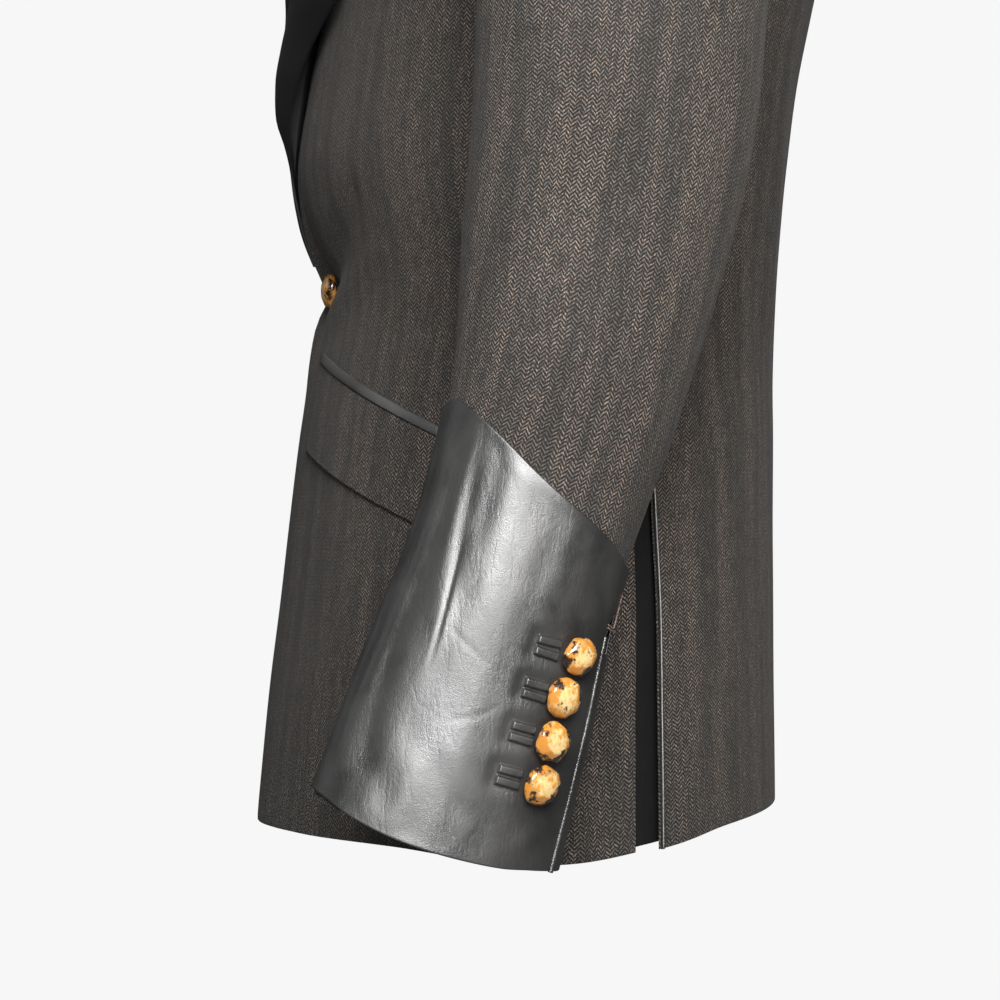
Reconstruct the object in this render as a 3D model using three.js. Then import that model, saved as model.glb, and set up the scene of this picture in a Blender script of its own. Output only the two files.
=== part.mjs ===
// A tailored blazer worn by nobody: hollow body, two bent sleeves, notched lapels,
// leather cuffs and side vents. Units are millimetres. The garment faces -Y, +X is the
// wearer's left and +Z is up. The origin lies midway between the two neck points.
import * as THREE from 'three';

const CLOTH = 2.0;            // wall of the body and the sleeves
const LEATHER = 1.4;          // wall of the cuffs, welts and piping
const FACING = 1.8;           // wall of the lapels and the collar
const SEAM = 0.3;             // clearance between neighbouring pieces
const HEM = -735;             // height of the lower edge
const NECK = 0;               // height of the neck edge
const LAP = 16;               // how far a front runs past the middle
const LAYER = 1.5;            // how far the overlapping fronts part from their common surface
const LAYER_REACH = { from: 35, to: 70, low: -345, high: -315 };
const LIP = { height: 6.5, from: -15, to: 4, spread: 37 };
const ROLL_START = -445;      // height where the lapel starts to fold
const ROLL_NECK_X = 60;       // where the roll line meets the neck edge
const COLLAR_STEP = 3;        // how far inside the roll line the collar is sewn on
const BUTTON_HEIGHT = -463;   // height of the front button
const BUTTON_SHANK = 2.9;     // how far the front button's base stands off the cloth
const BUTTON_X = 11;          // how far the front button lies left of the middle
const BUTTON_LEAN = 12;       // degrees that it faces to the left
const BUTTON_SIDES = 9;
const VENT_SWING = 0.8;       // degrees that the vent's edge swings forward by the hem
const VENT_SWING_TOP = -560;  // height where that swing starts
const VENT_GAP = 9;           // how far the side panel's edge keeps from an open vent
const VENT_TOP = -500;        // upper end of the side vents
const VENT_CLOSING = 70;      // length over which the open vent closes to its seam
const VENT_FLARE = 6;         // how far the back stands off at the vent's foot
const VENT_FLARE_SHARE = 0.3; // share of the back's width over which that fades
const UNDERLAP_GAP = 1.2;     // clearance between the underlap and the panels over it
const UNDERLAP_ANGLES = [-5.5, 11];
const PIPING_ANGLES = [0.15, 0.75];
const PIPING_STAND = 0.5;     // clearance between the piping and the back
const SLEEVE_LENGTH = 380;    // from the end of the sleeve head to the cuff edge, along the arm

// Level sections of the body: half width, depths before and behind the middle, roundness.
const BODY_SECTIONS = [
  { z: -750, width: 204, front: 126, back: 136, power: 2.3 },
  { z: -735, width: 203, front: 124.5, back: 136.5, power: 2.3 },
  { z: -670, width: 200, front: 118, back: 136, power: 2.3 },
  { z: -623, width: 197, front: 112, back: 136, power: 2.3 },
  { z: -584, width: 193, front: 107.6, back: 136.5, power: 2.25 },
  { z: -540, width: 188, front: 102.2, back: 137.5, power: 2.2 },
  { z: -509, width: 184, front: 96.8, back: 138, power: 2.15 },
  { z: -463, width: 181, front: 89, back: 140.5, power: 2.1 },
  { z: -425, width: 182, front: 99.5, back: 143.5, power: 2.1 },
  { z: -400, width: 184, front: 103, back: 146.5, power: 2.05 },
  { z: -360, width: 190, front: 97.5, back: 152, power: 2 },
  { z: -320, width: 197, front: 92, back: 160, power: 2 },
  { z: -270, width: 206, front: 100, back: 169, power: 2.15 },
  { z: -200, width: 212, front: 102, back: 168, power: 2.25 },
  { z: -130, width: 214, front: 96, back: 150, power: 2.3 },
  { z: -90, width: 216, front: 86, back: 131, power: 2.3 },
  { z: -65, width: 215, front: 77, back: 115, power: 2.3 },
  { z: -47, width: 211, front: 70, back: 103, power: 2.3 },
  { z: -40, width: 190, front: 68, back: 98, power: 2.3 },
  { z: -25, width: 143, front: 63, back: 88, power: 2.3 },
  { z: -10, width: 97, front: 58, back: 79, power: 2.3 },
  { z: 0, width: 70, front: 55, back: 72, power: 2.3 },
  { z: 10, width: 58, front: 50, back: 66, power: 2.3 },
];

// Creases of the left side, straight on the cloth; the right side mirrors them.
const CREASES = [
  { angle0: 0, z0: -463, angle1: 3, z1: -463, height: -6, spread: 20 },
  { angle0: 6, z0: -468, angle1: 34, z1: -425, height: -3.5, spread: 9 },
  { angle0: 8, z0: -480, angle1: 42, z1: -452, height: 2.5, spread: 9 },
  { angle0: 48, z0: -492, angle1: 62, z1: -482, height: -3, spread: 13 },
  { angle0: 78, z0: -470, angle1: 84, z1: -380, height: -3, spread: 12 },
  { angle0: 128, z0: -500, angle1: 138, z1: -330, height: -3, spread: 18 },
  { angle0: 152, z0: -470, angle1: 149, z1: -270, height: 2.5, spread: 18 },
];

const CREASE_SCALE = 3;       // millimetres for each degree of the body
const HEM_RISE_REACH = 190;   // how far above the hem its rise fades out

// The hem line by angle: lowest at the front corner and the side, higher behind.
const HEM_RISE = [
  { angle: 0, rise: 0 },
  { angle: 12, rise: 2 },
  { angle: 30, rise: 4.5 },
  { angle: 60, rise: 5 },
  { angle: 90, rise: -1.5 },
  { angle: 108, rise: 4.4 },
  { angle: 125, rise: 11 },
  { angle: 145, rise: 14 },
  { angle: 180, rise: 15 },
];

// Armhole: an oval on the body, low point under the arm.
const ARMHOLE = { middle: -160, half: 113, frontAngle: 33.4, backAngle: 29 };

// Arm sections by height above the cuff edge, measured along the arm.
const ARM_SECTIONS = [
  { up: 0, x: 276, y: -57.5, z: -713, across: 38, deep: 54 },
  { up: 58, x: 277, y: -40.5, z: -657, across: 38.5, deep: 50.5 },
  { up: 117, x: 277, y: -23.4, z: -601, across: 40, deep: 45.5 },
  { up: 156, x: 276, y: -11, z: -563, across: 42, deep: 46.5 },
  { up: 194, x: 274, y: -0.5, z: -527, across: 45, deep: 49.5 },
  { up: 260, x: 268, y: 12.3, z: -463, across: 49, deep: 57.5 },
  { up: 315, x: 262, y: 21.8, z: -409, across: 52, deep: 61.7 },
  { up: 380, x: 254, y: 27.5, z: -345, across: 53, deep: 64 },
  { up: 400, x: 252, y: 29, z: -325, across: 53, deep: 64.5 },
];

// How the sleeve head leaves the armhole: direction and reach, under the arm and at the shoulder.
const HEAD_OUT = { under: 0.45, top: 0.95 };
const HEAD_DOWN = { under: -0.85, top: -0.35 };
const HEAD_FORWARD = -0.1;
const HEAD_REACH = { under: 14, top: 78 };
const HEAD_RETURN = { under: 22, top: 130 };
const HEAD_STAND = 0.5;       // how far the sleeve head starts off the body

// Angles round the armhole: 0 shoulder, 90 front, 180 under the arm.
const SIDE_SEAM_TURN = 138.8;
const FRONT_TURNS = [SIDE_SEAM_TURN, 120, 102, 85, 68, 51, 34, 17, 0];
const UNDER_TURNS = [SIDE_SEAM_TURN, 159.4, 180, 200.6, 360 - SIDE_SEAM_TURN];
const TOP_SLEEVE_TURNS = [-102, -85, -68, -51, -34, -17, 0, 17, 34, 51, 68, 85, 102];
const UNDER_SLEEVE_TURNS = [102, 120, SIDE_SEAM_TURN, 159.4, 180, 200.6,
  360 - SIDE_SEAM_TURN, 240, 258];

const CUFF_TURNS = [-68, -51, -34, -17, 0, 17, 34, 51, 68, 85, ...UNDER_SLEEVE_TURNS, 272];

const LOW_ROWS = [HEM, -733, -729, -722, -690, -655, -620, -585, -552, -525, VENT_TOP,
  -480, -463, -445, -424, -403, -383, -362, -340, -316, -292, -268];
const FRONT_COLUMNS = [0, 0.05, 0.11, 0.19, 0.28, 0.38, 0.5, 0.62, 0.74, 0.87, 1];
const SHOULDER_ROWS = [-40, -31, -22, -13, -6, NECK];
const CORNER = 13;            // radius of the lower front corner
const CUTAWAY = 14;           // how far the front edge swings back by the hem
const CUTAWAY_TOP = -600;     // height where that swing starts

// Lapel by height of its roll line: where its free edge lies, and how far it stands off.
const LAPEL_SECTIONS = [
  { z: -446, edgeX: -13, bulge: 0, edge: 0 },
  { z: -434, edgeX: -10, bulge: 0, edge: 0 },
  { z: -420, edgeX: -6.5, bulge: 0.2, edge: 0.3 },
  { z: -402, edgeX: -2, bulge: 0.6, edge: 1.2 },
  { z: -390, edgeX: 8, bulge: 3.8, edge: 3.5 },
  { z: -378, edgeX: 19, bulge: 9, edge: 6.5 },
  { z: -360, edgeX: 37, bulge: 12.5, edge: 7 },
  { z: -345, edgeX: 53, bulge: 13.5, edge: 6 },
  { z: -335, edgeX: 69, bulge: 14, edge: 5.5 },
  { z: -325, edgeX: 86, bulge: 15, edge: 4.5 },
  { z: -310, edgeX: 97, bulge: 14.5, edge: 3.5 },
  { z: -290, edgeX: 108, bulge: 12.5, edge: 3 },
  { z: -250, edgeX: 117, bulge: 9.5, edge: 2 },
  { z: -180, edgeX: 124, bulge: 6, edge: 1 },
  { z: -120, edgeX: 128, bulge: 5, edge: 1 },
  { z: -57, edgeX: 131, bulge: 4, edge: 1 },
];
const LAPEL_TOP = -57;
const LAPEL_GAP = 0.9;        // clearance between the lapel and the front under it
const GORGE_DROP = 0.52;      // fall of the lapel's top edge for each millimetre outward
const GORGE_START = -200;     // height where the lapel's rows start to fall outward
const UNDER_LAPEL_LOW = -370; // the covered lapel ends here, behind the one that lies over it
const UNDER_LAPEL_X = 3;      // how far past the middle the covered lapel starts
const LAPEL_SWELL = 1.6;      // above 1, the lapel's columns lie closer at the roll
const LAPEL_CREST = 0.75;     // below 1, the bulge crests nearer to the roll

// Collar stations from the middle of the back (0) to the gorge (1).
const COLLAR_SECTIONS = [
  { along: 0, seamAngle: 180, seamZ: 1, foldX: 0, foldY: 67, foldZ: 36, edgeAngle: 180, edgeZ: -15 },
  { along: 0.25, seamAngle: 136, seamZ: 1, foldX: 45, foldY: 48, foldZ: 33, edgeAngle: 136, edgeZ: -15 },
  { along: 0.5, seamAngle: 90, seamZ: 1, foldX: 65, foldY: 4, foldZ: 24, edgeAngle: 91, edgeZ: -16 },
  { along: 0.6, seamAngle: 67, seamZ: 1.5, foldX: 63.5, foldY: -18, foldZ: 16, edgeAngle: 64, edgeZ: -21 },
  { along: 0.7, seamAngle: 51, seamZ: 1, foldX: 60, foldY: -38, foldZ: 10, edgeAngle: 45, edgeZ: -31 },
  { along: 0.8, seamZ: -12, foldX: 57, foldY: -54, foldZ: -1, edgeAngle: 34, edgeZ: -43 },
  { along: 0.9, seamZ: -30, foldX: 54, foldY: -67, foldZ: -19, edgeAngle: 28, edgeZ: -58 },
  { along: 1, seamZ: -48, foldX: 50, foldY: -79, foldZ: -46, edgeAngle: 25, edgeZ: -75 },
];
const COLLAR_REST = 4.5;      // height of the collar's outer face over the body
const COLLAR_SEAM_DEPTH = 0.4; // how far the collar's seam lies under the body's surface
const COLLAR_FOLD = { inside: 3, insideDrop: 4, outside: 4, outsideDrop: 3, crown: 3, crownRise: 2 };
const COLLAR_PROBE = 0.004;   // step for the collar's normals

// Cuff: where its upper edge runs, by angle round the arm.
const CUFF_TOP = [
  { turn: -90, up: 131 },
  { turn: -68, up: 133 },
  { turn: -45, up: 139 },
  { turn: 0, up: 152 },
  { turn: 45, up: 171 },
  { turn: 75, up: 178 },
  { turn: 105, up: 168 },
  { turn: 180, up: 150 },
  { turn: 250, up: 131 },
  { turn: 276, up: 122 },
];
// Its lower edge: raised in front, hanging on the outside.
const CUFF_LOW = [
  { turn: -90, up: 0 },
  { turn: -66, up: 0 },
  { turn: -46, up: -1.2 },
  { turn: -30, up: -3 },
  { turn: -8, up: -4 },
  { turn: 8, up: -4 },
  { turn: 25, up: -3 },
  { turn: 47, up: 0 },
  { turn: 65, up: 3 },
  { turn: 81, up: 4 },
  { turn: 110, up: 4 },
  { turn: 180, up: 2 },
  { turn: 276, up: 0 },
];
const CUFF_CORNER = 17;       // how many degrees the cuff's upper corner reaches past the vent
const CUFF_CORNER_FROM = 0.75; // share of the cuff's height where that corner begins
const CUFF_CORNER_TO = 0.95;  // share of the cuff's height where it is whole
const CUFF_CLEARANCE = 0.7;   // between the cuff and the sleeve in it
const CUFF_LIFT = CUFF_CLEARANCE + LEATHER;
const CUFF_UNDERLAP_TURNS = [272.6, 275, 291];

const SLEEVE_BUTTON = { radius: 7.8, height: 6.5 };
const FRONT_BUTTON = { radius: 9.5, height: 7 };
const CUFF_UNDERLAP_UP = 94;  // length of the leather strip under the sleeve vent
const CUFF_BUTTON_UPS = [90, 71.5, 53, 34.5];
const CUFF_BUTTON_REACH = 33; // distance of the cuff buttons behind the arm's middle
const BUTTONHOLE_END_REACH = 15; // the same for the front end of the bound buttonholes
const HOLE_GAP = 0.5;         // clearance between a button and its hole's lips
const HOLE_STAND = 1.2;       // height of a buttonhole patch over the cuff's surface
const HOLE_WALL = 0.9;
const HOLE_ROWS = [
  { across: -3.4, ridge: 0 },
  { across: -2.1, ridge: 1.1 },
  { across: 0, ridge: 0.2 },
  { across: 2.1, ridge: 1.1 },
  { across: 3.4, ridge: 0 },
];

const POCKET = { angle0: 13, z0: -497.5, angle1: 75, z1: -545, welt: 5, flap: 44 };
const POCKET_SAG = 1.1;       // above 1, the pocket line drops faster towards the side
const POCKET_GAP = 1.1;       // how far pocket pieces lie off the front
const WELT_CROWN = 0.5;       // how much the welt's middle stands proud
const FLAP_GAP = 0.4;         // clearance between the welt and the flap
const FLAP_STAND = 0.8;       // how far the flap's lower edge lifts

const cloth = { color: 0x35312c, roughness: 0.9, metalness: 0 };
const leather = { color: 0x232323, roughness: 0.38, metalness: 0 };
const satin = { color: 0x161617, roughness: 0.5, metalness: 0 };
const horn = { color: 0xb9823f, roughness: 0.25, metalness: 0 };

const group = new THREE.Group();
const radians = THREE.MathUtils.degToRad;
const lerp = THREE.MathUtils.lerp;
const clamp = THREE.MathUtils.clamp;

function smooth(from, to, value) {
  const t = clamp((value - from) / (to - from), 0, 1);
  return t * t * (3 - 2 * t);
}

// Smooth curve through a table's rows: cubic pieces with averaged slopes.
function curve(table, key, at, column) {
  let i = 0;
  while (i < table.length - 2 && at > table[i + 1][key]) i += 1;
  const slope = (k) => {
    const before = table[Math.max(k - 1, 0)];
    const after = table[Math.min(k + 1, table.length - 1)];
    return (after[column] - before[column]) / (after[key] - before[key]);
  };
  const span = table[i + 1][key] - table[i][key];
  const t = clamp((at - table[i][key]) / span, 0, 1);
  const start = table[i][column];
  const end = table[i + 1][column];
  const square = t * t;
  const cube = square * t;
  return start * (2 * cube - 3 * square + 1) + slope(i) * span * (cube - 2 * square + t)
    + end * (3 * square - 2 * cube) + slope(i + 1) * span * (cube - square);
}

function creaseHeight(angle, z) {
  let height = 0;
  for (const crease of CREASES) {
    const ax = crease.angle0 * CREASE_SCALE;
    const bx = crease.angle1 * CREASE_SCALE;
    const dx = bx - ax;
    const dz = crease.z1 - crease.z0;
    const px = Math.abs(angle) * CREASE_SCALE - ax;
    const pz = z - crease.z0;
    const t = (px * dx + pz * dz) / (dx * dx + dz * dz);
    const near = clamp(t, 0, 1);
    const off = Math.hypot(px - near * dx, pz - near * dz);
    height += crease.height * Math.exp(-((off / crease.spread) ** 2));
  }
  return height;
}

// Point of the body at an angle (0 middle front, 90 left side, 180 middle back) and a height.
function bodyPoint(angle, z) {
  const width = curve(BODY_SECTIONS, 'z', z, 'width');
  const power = 2 / curve(BODY_SECTIONS, 'z', z, 'power');
  const sine = Math.sin(radians(angle));
  const cosine = Math.cos(radians(angle));
  const depth = curve(BODY_SECTIONS, 'z', z, cosine > 0 ? 'front' : 'back');
  const x = width * Math.sign(sine) * Math.abs(sine) ** power;
  const y = -depth * Math.sign(cosine) * Math.abs(cosine) ** power;
  const crease = creaseHeight(angle, z);
  const fade = 1 - smooth(HEM, HEM + HEM_RISE_REACH, z);
  const rise = curve(HEM_RISE, 'angle', Math.abs(angle), 'rise') * fade;
  return new THREE.Vector3(x + crease * sine, y - crease * cosine, z + rise);
}

function angleForX(x, z) {
  const width = curve(BODY_SECTIONS, 'z', z, 'width');
  const power = curve(BODY_SECTIONS, 'z', z, 'power');
  const sine = clamp(Math.abs(x) / width, 0, 1) ** (power / 2);
  return Math.sign(x) * THREE.MathUtils.radToDeg(Math.asin(sine));
}

function armholeAngle(turn) {
  const sine = Math.sin(radians(turn));
  return 90 - sine * (sine > 0 ? ARMHOLE.frontAngle : ARMHOLE.backAngle);
}

// Seam between side and back, drawn a little forward towards the hem.
function backSeamAngle(z) {
  return armholeAngle(-SIDE_SEAM_TURN) - VENT_SWING * (1 - smooth(HEM, VENT_SWING_TOP, z));
}

function armholeHeight(turn) {
  return ARMHOLE.middle + ARMHOLE.half * Math.cos(radians(turn));
}

const ARM_PROBE = 0.5;

// Centre and frame of the arm at a distance above the cuff edge.
function armFrame(up) {
  const at = (height) => new THREE.Vector3(
    curve(ARM_SECTIONS, 'up', height, 'x'),
    curve(ARM_SECTIONS, 'up', height, 'y'),
    curve(ARM_SECTIONS, 'up', height, 'z'),
  );
  const probe = clamp(up, ARM_PROBE, ARM_SECTIONS.at(-1).up - ARM_PROBE);
  const along = at(probe + ARM_PROBE).sub(at(probe - ARM_PROBE)).normalize();
  const centre = at(Math.max(up, 0)).addScaledVector(along, Math.min(up, 0));
  const out = new THREE.Vector3(1, 0, 0).addScaledVector(along, -along.x).normalize();
  const rear = new THREE.Vector3().crossVectors(along, out);
  return { centre, along, out, rear };
}

function armPoint(turn, up) {
  const { centre, out, rear } = armFrame(up);
  const across = curve(ARM_SECTIONS, 'up', Math.max(up, 0), 'across');
  const deep = curve(ARM_SECTIONS, 'up', Math.max(up, 0), 'deep');
  return centre.addScaledVector(out, across * Math.cos(radians(turn)))
    .addScaledVector(rear, -deep * Math.sin(radians(turn)));
}

// Point of the left sleeve: distance 0 at the armhole, 1 at the end of the sleeve head,
// 2 at the cuff edge.
function sleevePoint(turn, distance) {
  if (distance >= 1) return armPoint(turn, SLEEVE_LENGTH * (2 - distance));
  const angle = armholeAngle(turn);
  const height = armholeHeight(turn);
  const top = (1 + Math.cos(radians(turn))) / 2;
  const between = (pair) => lerp(pair.under, pair.top, top);
  const start = lifted(bodyPoint, angle, height, HEAD_STAND);
  const forward = HEAD_FORWARD * Math.sin(radians(turn));
  const leave = new THREE.Vector3(between(HEAD_OUT), forward, between(HEAD_DOWN)).normalize();
  start.addScaledVector(leave, SEAM);
  const end = armPoint(turn, SLEEVE_LENGTH);
  const { along } = armFrame(SLEEVE_LENGTH);
  const first = start.clone().addScaledVector(leave, between(HEAD_REACH));
  const second = end.clone().addScaledVector(along, between(HEAD_RETURN));
  return new THREE.CubicBezierCurve3(start, first, second, end).getPoint(distance);
}

const PROBE_ANGLE = 0.05;
const BODY_PROBE = { step: 0.2, low: -749, top: 9 };
const SLEEVE_PROBE = { step: 0.001, low: 0, top: 2 };

// Point of a surface moved out along its own normal.
function lifted(surface, a, b, lift) {
  const probe = surface === bodyPoint ? BODY_PROBE : SLEEVE_PROBE;
  const b0 = Math.max(b - probe.step, probe.low);
  const b1 = Math.min(b + probe.step, probe.top);
  const du = surface(a + PROBE_ANGLE, b).sub(surface(a - PROBE_ANGLE, b));
  const dv = surface(a, b1).sub(surface(a, b0));
  const normal = du.cross(dv).normalize();
  return surface(a, b).addScaledVector(normal, lift);
}

// Closed wall over a grid of outer and inner points, rows first.
function wallGeometry(outer, inner) {
  const rows = outer.length;
  const columns = outer[0].length;
  const positions = [];
  for (const sheet of [outer, inner]) {
    for (const row of sheet) {
      for (const point of row) positions.push(point.x, point.y, point.z);
    }
  }
  const at = (layer, r, c) => (layer * rows + r) * columns + c;
  const index = [];
  const quad = (a, b, c, d) => index.push(a, b, c, a, c, d);
  for (let r = 0; r < rows - 1; r += 1) {
    for (let c = 0; c < columns - 1; c += 1) {
      quad(at(0, r, c), at(0, r, c + 1), at(0, r + 1, c + 1), at(0, r + 1, c));
      quad(at(1, r, c), at(1, r + 1, c), at(1, r + 1, c + 1), at(1, r, c + 1));
    }
  }
  for (let r = 0; r < rows - 1; r += 1) {
    quad(at(0, r, 0), at(0, r + 1, 0), at(1, r + 1, 0), at(1, r, 0));
    quad(at(0, r + 1, columns - 1), at(0, r, columns - 1), at(1, r, columns - 1),
      at(1, r + 1, columns - 1));
  }
  for (let c = 0; c < columns - 1; c += 1) {
    quad(at(0, 0, c + 1), at(0, 0, c), at(1, 0, c), at(1, 0, c + 1));
    quad(at(0, rows - 1, c), at(0, rows - 1, c + 1), at(1, rows - 1, c + 1), at(1, rows - 1, c));
  }
  return closedGeometry(positions, index);
}

function closedGeometry(positions, index) {
  let volume = 0;
  const corner = (i) => new THREE.Vector3().fromArray(positions, i * 3);
  for (let i = 0; i < index.length; i += 3) {
    volume += corner(index[i]).dot(corner(index[i + 1]).cross(corner(index[i + 2])));
  }
  const faces = [...index];
  if (volume < 0) {
    for (let i = 0; i < faces.length; i += 3) {
      [faces[i + 1], faces[i + 2]] = [faces[i + 2], faces[i + 1]];
    }
  }
  const geometry = new THREE.BufferGeometry();
  geometry.setAttribute('position', new THREE.Float32BufferAttribute(positions, 3));
  geometry.setIndex(faces);
  return geometry;
}

function addMesh(name, geometry, look) {
  const mesh = new THREE.Mesh(geometry, new THREE.MeshStandardMaterial(look));
  mesh.name = name;
  group.add(mesh);
  return mesh;
}

// Wall laid on a surface: place(column, row) gives its two coordinates and its lift.
function addWall(name, surface, columns, rows, place, thickness, look, side = 1) {
  const sheet = (depth) => rows.map((row) => columns.map((column) => {
    const { a, b, lift } = place(column, row);
    const point = lifted(surface, a, b, lift - depth);
    point.x *= side;
    return point;
  }));
  addMesh(name, wallGeometry(sheet(0), sheet(thickness)), look);
}

function evenly(count, from = 0, to = 1) {
  return Array.from({ length: count + 1 }, (_, i) => lerp(from, to, i / count));
}

const INSET_SEARCH = 0.2;     // share of the way in which the inset place lies
const INSET_HALVINGS = 30;

// Angle at a small distance from a boundary angle, towards another angle.
function insetAngle(boundary, towards, z, distance) {
  const origin = bodyPoint(boundary, z);
  let near = 0;
  let far = INSET_SEARCH;
  for (let i = 0; i < INSET_HALVINGS; i += 1) {
    const middle = (near + far) / 2;
    const angle = lerp(boundary, towards, middle);
    if (bodyPoint(angle, z).distanceTo(origin) < distance) near = middle;
    else far = middle;
  }
  return lerp(boundary, towards, far);
}

function rollX(z) {
  return lerp(-LAP, ROLL_NECK_X, (z - ROLL_START) / (NECK - ROLL_START));
}

// Front edge below the roll line: straight, then cut away to a rounded corner.
function frontEdgeX(z) {
  if (z > ROLL_START) return rollX(z);
  const swing = CUTAWAY * smooth(CUTAWAY_TOP, HEM, z);
  const over = clamp(HEM + CORNER - z, 0, CORNER);
  return -LAP + swing + CORNER - Math.sqrt(CORNER * CORNER - over * over);
}

// Height of a body row and the seam angle where that row ends.
const armholeRows = FRONT_TURNS.map((turn) => ({ z: armholeHeight(turn), turn }));
const bodyRows = [
  ...LOW_ROWS.map((z) => ({ z, turn: SIDE_SEAM_TURN })),
  ...armholeRows,
  ...SHOULDER_ROWS.map((z) => ({ z, turn: 0 })),
];

function centreLift(x, z, layer) {
  const near = 1 - smooth(LAYER_REACH.from, LAYER_REACH.to, Math.abs(x));
  const low = 1 - smooth(LAYER_REACH.low, LAYER_REACH.high, z);
  return layer * near * low;
}

// The fastened edge stands forward of the button.
function edgeLip(x, z) {
  const reach = 1 - smooth(LIP.from, LIP.to, x);
  return LIP.height * reach * Math.exp(-(((z - BUTTON_HEIGHT) / LIP.spread) ** 2));
}

function addFront(name, side) {
  const layer = side > 0 ? LAYER : -LAYER;
  addWall(name, bodyPoint, FRONT_COLUMNS, bodyRows, (across, row) => {
    const inner = angleForX(frontEdgeX(row.z), row.z);
    const outer = insetAngle(armholeAngle(row.turn), inner, row.z, SEAM / 2);
    const a = lerp(inner, outer, across);
    const x = bodyPoint(a, row.z).x;
    const lip = side > 0 ? edgeLip(x, row.z) : 0;
    return { a, b: row.z, lift: centreLift(x, row.z, layer) + lip };
  }, CLOTH, cloth, side);
}

function ventFlare(z) {
  return VENT_FLARE * smooth(VENT_TOP, HEM, z);
}

function addBack(name, side) {
  addWall(name, bodyPoint, evenly(8), bodyRows, (across, row) => {
    const seam = row.turn === SIDE_SEAM_TURN ? backSeamAngle(row.z) : armholeAngle(-row.turn);
    const inner = insetAngle(seam, 180, row.z, SEAM / 2);
    const outer = insetAngle(180, seam, row.z, SEAM / 2);
    const flare = ventFlare(row.z) * (1 - smooth(0, VENT_FLARE_SHARE, across));
    return { a: lerp(inner, outer, across), b: row.z, lift: flare };
  }, CLOTH, cloth, side);
}

const UNDERARM_DIP_FROM = -450; // the side panel's rows bend down to the armhole above this

function addSide(name, side) {
  const rows = [...LOW_ROWS, armholeHeight(SIDE_SEAM_TURN)];
  const topRow = armholeHeight(SIDE_SEAM_TURN);
  addWall(name, bodyPoint, UNDER_TURNS, rows, (turn, z) => {
    const front = armholeAngle(SIDE_SEAM_TURN);
    const back = backSeamAngle(z);
    const share = (armholeAngle(turn) - front) / (armholeAngle(-SIDE_SEAM_TURN) - front);
    let a = lerp(front, back, share);
    if (turn === UNDER_TURNS[0]) a = insetAngle(front, back, z, SEAM / 2);
    if (turn === UNDER_TURNS.at(-1)) {
      const open = lerp(VENT_GAP, SEAM / 2, smooth(VENT_TOP - VENT_CLOSING, VENT_TOP, z));
      a = insetAngle(back, front, z, open);
    }
    const dip = armholeHeight(turn) - topRow - SEAM / 2;
    const b = z + dip * smooth(UNDERARM_DIP_FROM, topRow, z);
    return { a, b, lift: 0 };
  }, CLOTH, cloth, side);
}

function addVentUnderlap(name, side) {
  const rows = evenly(8, HEM + 2, VENT_TOP);
  addWall(name, bodyPoint, evenly(3, ...UNDERLAP_ANGLES), rows, (offset, z) => (
    { a: backSeamAngle(z) + offset, b: z, lift: -CLOTH - UNDERLAP_GAP }
  ), CLOTH, cloth, side);
}

function addVentPiping(name, side) {
  const rows = evenly(10, HEM, VENT_TOP);
  addWall(name, bodyPoint, evenly(2, ...PIPING_ANGLES), rows, (offset, z) => (
    { a: backSeamAngle(z) + offset, b: z, lift: ventFlare(z) + PIPING_STAND + LEATHER }
  ), LEATHER, leather, side);
}

const HEAD_RADIUS = 70;       // round radius of the sleeve head, for the seam's inset
const ARM_RADIUS = 50;        // the same for the arm

// Turn moved by half a seam's clearance, on the head or the arm.
function sleeveInset(turn, distance, towards) {
  const radius = distance < 1 ? HEAD_RADIUS : ARM_RADIUS;
  return turn + Math.sign(towards - turn) * THREE.MathUtils.radToDeg(SEAM / 2 / radius);
}

const SLEEVE_ROWS = [0, 0.08, 0.2, 0.34, 0.48, 0.62, 0.76, 0.88, 1,
  ...[345, 315, 290, 265, 235, 210, 185, 156, 117, 80, 40, 0]
    .map((up) => 2 - up / SLEEVE_LENGTH)];

function addSleeve(name, turns, side) {
  addWall(name, sleevePoint, turns, SLEEVE_ROWS, (turn, distance) => {
    let a = turn;
    if (turn === turns[0]) a = sleeveInset(turn, distance, turns.at(-1));
    if (turn === turns.at(-1)) a = sleeveInset(turn, distance, turns[0]);
    return { a, b: distance, lift: 0 };
  }, CLOTH, cloth, side);
}

function cuffDistance(turn, part) {
  const low = curve(CUFF_LOW, 'turn', turn, 'up');
  const high = curve(CUFF_TOP, 'turn', turn, 'up');
  return 2 - lerp(low, high, part) / SLEEVE_LENGTH;
}

function cuffSurface(turn, distance) {
  return armPoint(turn, SLEEVE_LENGTH * (2 - distance));
}

function addCuff(name, side) {
  addWall(name, cuffSurface, CUFF_TURNS, evenly(7), (turn, part) => {
    const reach = CUFF_CORNER * smooth(CUFF_CORNER_FROM, CUFF_CORNER_TO, part);
    const corner = turn === CUFF_TURNS[0] ? reach : 0;
    return { a: turn - corner, b: cuffDistance(turn - corner, part), lift: CUFF_LIFT };
  }, LEATHER, leather, side);
}

function addCuffUnderlap(name, side) {
  addWall(name, cuffSurface, CUFF_UNDERLAP_TURNS, evenly(6), (turn, part) => (
    { a: turn, b: 2 - lerp(0, CUFF_UNDERLAP_UP, part) / SLEEVE_LENGTH, lift: CUFF_LIFT }
  ), LEATHER, leather, side);
}

// Turn round the arm that lies a given distance behind its middle.
function turnForReach(reach, up) {
  const deep = curve(ARM_SECTIONS, 'up', up, 'deep') + CUFF_LIFT;
  return -THREE.MathUtils.radToDeg(Math.asin(reach / deep));
}

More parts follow.
